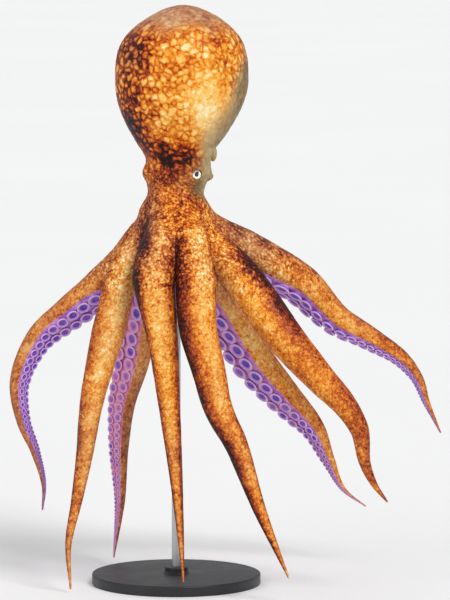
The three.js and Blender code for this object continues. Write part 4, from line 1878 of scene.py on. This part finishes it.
@dataclass(frozen=True)
class SkinFinish:
    """Moist skin marbled from dark red brown to cream, with ashen and olive washes and lilac soles."""

    roughness: tuple[float, float] = (0.42, 0.62)
    coat: float = 0.03
    flesh: float = 0.03
    sheen: float = 0.18

    def make(self, lilac: bpy.types.NodeTree, grain: bpy.types.NodeTree) -> bpy.types.Material:
        """Builds the material.

        Args:
            lilac: the sucker side's group.
            grain: the fine grain's group.

        Returns:
            The material.
        """
        material, graph, shader = new_material("octopus skin")
        level, patch, tone, veined, grey, ventral = (
            graph.fact(name) for name in ("level", "patch", "patch_tone", "veined", "grey", "ventral"))
        ragged = graph.noise(4.4, 5.0, 0.68, 0.6)
        cloud = graph.noise(19.0, 4.0, 0.62, 0.5)
        curled = graph.stirred(6.0, 5.0)
        fleck = graph.spots(2.9, "SMOOTH_F1", curled).outputs["Color"]
        seams = graph.spots(4.2, "DISTANCE_TO_EDGE", curled).outputs["Distance"]
        net = graph.span(seams, 0.0, 0.13, -0.14, 0.02)
        marbling = graph.math("MULTIPLY", veined, graph.total(
            graph.sway(fleck, 0.36), graph.sway(ragged, -0.30), net))
        pattern = graph.total(graph.sway(patch, 0.36, 0.55), graph.sway(tone, 0.28), graph.sway(ragged, 0.90),
                              graph.sway(cloud, 0.50), marbling)
        plainer = graph.math("MULTIPLY_ADD", ventral, -0.68, graph.math("MULTIPLY_ADD", grey, -0.15, 1.0))
        light = graph.math("MULTIPLY_ADD", pattern, plainer, level)
        colour = graph.ramp(light, [
            (0.02, "1C0303"), (0.14, "4C0C04"), (0.25, "86280B"), (0.36, "B2480A"), (0.46, "D0690B"),
            (0.56, "E8891C"), (0.66, "F5A539"), (0.78, "FCC464"), (0.90, "FFE09C"), (1.0, "FFF2CC")])
        ashen = graph.ramp(light, [
            (0.10, "40201C"), (0.30, "7C4634"), (0.50, "A9714F"), (0.70, "C4936F"), (0.92, "DDB898")])
        colour = graph.blend(graph.math("MULTIPLY", grey, 0.88), colour, ashen)
        olive = graph.ramp(light, [
            (0.10, "2E2418"), (0.28, "645436"), (0.46, "908055"), (0.64, "B9AC80"), (0.88, "E4DBB4")])
        colour = graph.blend(graph.math("MULTIPLY", ventral, 0.90), colour, olive)
        dots = graph.span(graph.spots(1.5).outputs["Distance"], 0.26, 0.12, 0.0, 0.22)
        colour = graph.blend(dots, colour, rgb("5A1E08"))
        under = graph.group(lilac, Pink=graph.fact("pink"))
        side = graph.span(graph.total(graph.fact("oral"), graph.sway(ragged, 0.7)), 0.32, 0.72)
        colour = graph.blend(side, colour, under.outputs["Color"])
        rough = graph.span(graph.noise(7.0, 3.0), 0.3, 0.7, *self.roughness)
        fine = graph.group(grain, Wrinkle=1.2).outputs["Height"]
        graph.feed(shader, {
            "Base Color": colour, "Roughness": rough, "Normal": graph.bump(fine, 0.45, 0.0007),
            "Specular IOR Level": self.sheen, "Coat Weight": self.coat, "Coat Roughness": 0.25,
            "Subsurface Weight": self.flesh, "Subsurface Radius": (1.0, 0.42, 0.22),
            "Subsurface Scale": 0.004})
        return material


@dataclass(frozen=True)
class SuckerFinish:
    """Lilac cups with a pale rim, a deep violet ring and a dark middle."""

    roughness: tuple[float, float] = (0.32, 0.5)
    coat: float = 0.12
    flesh: float = 0.12

    def make(self, lilac: bpy.types.NodeTree, grain: bpy.types.NodeTree, pink: float) -> bpy.types.Material:
        """Builds the material.

        Args:
            lilac: the sucker side's group.
            grain: the fine grain's group.
            pink: share of the pinker of the two tints.

        Returns:
            The material.
        """
        material, graph, shader = new_material(f"suckers {pink:.2f}")
        ring = graph.math("ADD", graph.fact("ring"), graph.sway(graph.noise(3.0, 3.0, 0.6, 0.5), 0.08))
        wall = graph.group(lilac, Pink=pink).outputs["Color"]
        # The pale rim is partly the rim's own paler flesh and partly a painted highlight.
        cup = graph.ramp(ring, [
            (0.22, "5A30B0"), (0.34, "8A56CC"), (0.44, "E8CAF2"), (0.56, "D8AAE6"), (0.67, "BE86DC"),
            (0.735, "4A1EC0"), (0.84, "3210A4"), (0.90, "8A60DC"), (1.0, "220A74")])
        tint = (0.42 + 0.44 * pink, 0.20 + 0.12 * pink, 0.62 - 0.10 * pink, 1.0)
        cup = graph.blend(graph.math("MULTIPLY", graph.fact("hue"), 0.12 + 0.50 * pink), cup, tint)
        colour = graph.blend(graph.span(ring, 0.12, 0.26), wall, cup)
        rough = graph.span(graph.noise(4.0, 3.0), 0.3, 0.7, *self.roughness)
        fine = graph.group(grain, Wrinkle=0.5).outputs["Height"]
        graph.feed(shader, {
            "Base Color": colour, "Roughness": rough, "Normal": graph.bump(fine, 0.3, 0.0004),
            "Coat Weight": self.coat, "Coat Roughness": 0.2,
            "Subsurface Weight": self.flesh, "Subsurface Radius": (0.8, 0.4, 0.7), "Subsurface Scale": 0.003})
        return material


@dataclass(frozen=True)
class EyeFinish:
    """Pale iris with a dark oval pupil, and a clear cornea."""

    pupil: tuple[float, float] = (2.3, 2.9)
    tilt: float = -18.0
    iris: float = 4.9

    def make_ball(self) -> bpy.types.Material:
        """Builds the eyeball's material.

        Returns:
            The material.
        """
        material, graph, shader = new_material("eyeball")
        turn = math.radians(self.tilt)
        u, v = graph.fact("eye_u"), graph.fact("eye_v")

        def times(value: bpy.types.NodeSocket, factor: object) -> bpy.types.NodeSocket:
            """A product."""
            return graph.math("MULTIPLY", value, factor)

        def share(offset: bpy.types.NodeSocket, half: float) -> bpy.types.NodeSocket:
            """How far across the pupil an offset is, raised so that the oval is squared off a little."""
            return graph.math("POWER", graph.math("DIVIDE", graph.math("ABSOLUTE", offset), half), 2.4)

        across = graph.math("ADD", times(u, math.cos(turn)), times(v, math.sin(turn)))
        upright = graph.math("SUBTRACT", times(v, math.cos(turn)), times(u, math.sin(turn)))
        wide, tall = self.pupil
        far = graph.math("SQRT", graph.math("ADD", share(across, wide), share(upright, tall)))
        radius = graph.math("SQRT", graph.math("ADD", times(u, u), times(v, v)))
        streak = graph.noise(1.1, 4.0, 0.6, 0.4)
        glow = graph.math("ADD", graph.math("DIVIDE", radius, self.iris), graph.sway(streak, 0.3))
        iris = graph.ramp(glow, [
            (0.36, "D8CCA8"), (0.48, "FFFBF0"), (0.84, "FFFFFA"), (0.98, "EFE6CE"), (1.06, "8A6E44")])
        colour = graph.blend(graph.span(far, 1.12, 0.92), iris, rgb("0A0706"))
        colour = graph.blend(graph.span(radius, 4.7, 5.3), colour, rgb("2A150C"))
        rough = graph.span(streak, 0.3, 0.7, 0.25, 0.4)
        graph.feed(shader, {
            "Base Color": colour, "Roughness": rough, "Normal": graph.bump(streak, 0.2, 0.0002)})
        return material

    def make_cornea(self) -> bpy.types.Material:
        """Builds the clear cornea's material.

        Returns:
            The material.
        """
        material, graph, shader = new_material("cornea")
        film = graph.span(graph.noise(2.5, 2.0), 0.3, 0.7, 0.015, 0.05)
        graph.feed(shader, {
            "Base Color": (1.0, 1.0, 1.0, 1.0), "Roughness": film, "Transmission Weight": 1.0, "IOR": 1.36})
        return material


@dataclass(frozen=True)
class StandFinish:
    """Satin black paint on the base, and brushed steel on the rod."""

    def make_paint(self) -> bpy.types.Material:
        """Builds the paint.

        Returns:
            The material.
        """
        material, graph, shader = new_material("satin black paint")
        cloud = graph.noise(40.0, 4.0, 0.6)
        dust = graph.noise(1.2, 2.0, 0.5)
        rough = graph.math("ADD", graph.span(cloud, 0.3, 0.7, 0.34, 0.44), graph.math("MULTIPLY", dust, 0.08))
        graph.feed(shader, {
            "Base Color": graph.ramp(cloud, [(0.3, "18181A"), (0.7, "232326")]), "Roughness": rough,
            "Normal": graph.bump(dust, 0.12, 0.0002)})
        return material

    def make_steel(self) -> bpy.types.Material:
        """Builds the brushed steel.

        Returns:
            The material.
        """
        material, graph, shader = new_material("brushed steel")
        squeezed = graph.add("ShaderNodeMapping", {"Vector": graph.place(), "Scale": (1.0, 1.0, 60.0)})
        brushed = graph.noise(9.0, 5.0, 0.7, 0.0, squeezed.outputs[0])
        graph.feed(shader, {
            "Base Color": graph.ramp(brushed, [(0.3, "A9ABAE"), (0.7, "C9CACC")]),
            "Roughness": graph.span(brushed, 0.3, 0.7, 0.24, 0.42), "Metallic": 1.0,
            "Normal": graph.bump(brushed, 0.1, 0.0001)})
        return material


def dress(piece: bpy.types.Object, material: bpy.types.Material) -> None:
    """Puts one material on a piece."""
    piece.data.materials.clear()
    piece.data.materials.append(material)


# ---- studio


@dataclass
class Studio:
    """Pale floor, soft light and the camera."""

    floor_reach: float = 70.0
    target: tuple[float, float, float] = (0.05488, 0.0, 0.32084)
    distance: float = 5.0
    elevation: float = 6.0
    tall: float = 0.672
    sensor: float = 36.0

    def build(self) -> None:
        """Builds the floor, the lights and the camera."""
        self._floor()
        self._lights()
        self._camera()
        LOG.info("studio: floor, lights and camera")

    def _floor(self) -> None:
        """Builds the pale floor."""
        reach = self.floor_reach / MM
        corners = np.array([[-1, -1, 0], [1, -1, 0], [1, 1, 0], [-1, 1, 0]]) * reach
        floor = make_piece("floor", corners, [np.array([[0, 1, 2, 3]])])
        material, graph, shader = new_material("pale floor")
        shade = graph.noise(900.0, 2.0, 0.5)
        graph.feed(shader, {
            "Base Color": graph.ramp(shade, [(0.3, "F6F6F5"), (0.7, "F8F8F7")]), "Roughness": 0.8,
            "Specular IOR Level": 0.1})
        dress(floor, material)

    def _lights(self) -> None:
        """Sets the even light all round, and three suns by strength, spread, azimuth and height."""
        world = bpy.data.worlds.new("studio")
        world.use_nodes = True
        background = next(n for n in world.node_tree.nodes if n.type == "BACKGROUND")
        background.inputs["Color"].default_value = (0.97, 0.985, 1.0, 1.0)
        background.inputs["Strength"].default_value = 0.46
        bpy.context.scene.world = world
        bpy.context.scene.view_settings.view_transform = "Standard"
        for name, strength, spread, azimuth, height in (
                ("key", 1.60, 20.0, 34.0, 46.0), ("fill", 0.60, 60.0, -48.0, 28.0),
                ("back", 0.35, 40.0, 200.0, 50.0)):
            lamp = bpy.data.lights.new(name, "SUN")
            lamp.energy = strength
            lamp.angle = math.radians(spread)
            light = bpy.data.objects.new(name, lamp)
            light.rotation_euler = (math.radians(90.0 - height), 0.0, math.radians(azimuth))
            bpy.context.scene.collection.objects.link(light)

    def _camera(self) -> None:
        """Aims the camera; the lens frames the tall size at the target's distance."""
        lens = bpy.data.cameras.new("camera")
        lens.sensor_fit = "AUTO"
        lens.sensor_width = self.sensor
        lens.lens = self.sensor * self.distance / self.tall
        lens.clip_end = 400.0
        camera = bpy.data.objects.new("camera", lens)
        tilt = math.radians(self.elevation)
        camera.location = Vector(self.target) + Vector((0.0, -math.cos(tilt), math.sin(tilt))) * self.distance
        camera.rotation_euler = (math.pi / 2 - tilt, 0.0, 0.0)
        bpy.context.scene.collection.objects.link(camera)
        bpy.context.scene.camera = camera


# ---- assembly


def main() -> None:
    """Builds every piece, dresses it and sets the stage."""
    arms = [Arm(plan) for plan in ARM_PLANS]
    form = BodyForm(arms)
    skin = Skin(arms, form, cell=1.25).build()
    lilac, grain = sucker_side_group(), fine_grain_group()
    dress(skin, SkinFinish().make(lilac, grain))
    tree = BVHTree.FromPolygons(
        [v.co / MM for v in skin.data.vertices], [tuple(f.vertices) for f in skin.data.polygons])
    pinks = sorted({arm.plan.pink for arm in arms})
    tints = {pink: SuckerFinish().make(lilac, grain, pink) for pink in pinks}
    for arm in arms:
        dress(SuckerRows(arm, tree).build(), tints[arm.plan.pink])
    eye = EyeFinish()
    ball_finish, cornea_finish = eye.make_ball(), eye.make_cornea()
    for side in (1, -1):
        ball, cornea = Eye(form, side).build()
        dress(ball, ball_finish)
        dress(cornea, cornea_finish)
    base, rod = Stand().build()
    finish = StandFinish()
    dress(base, finish.make_paint())
    dress(rod, finish.make_steel())
    Studio().build()


if __name__ == "__main__":
    main()
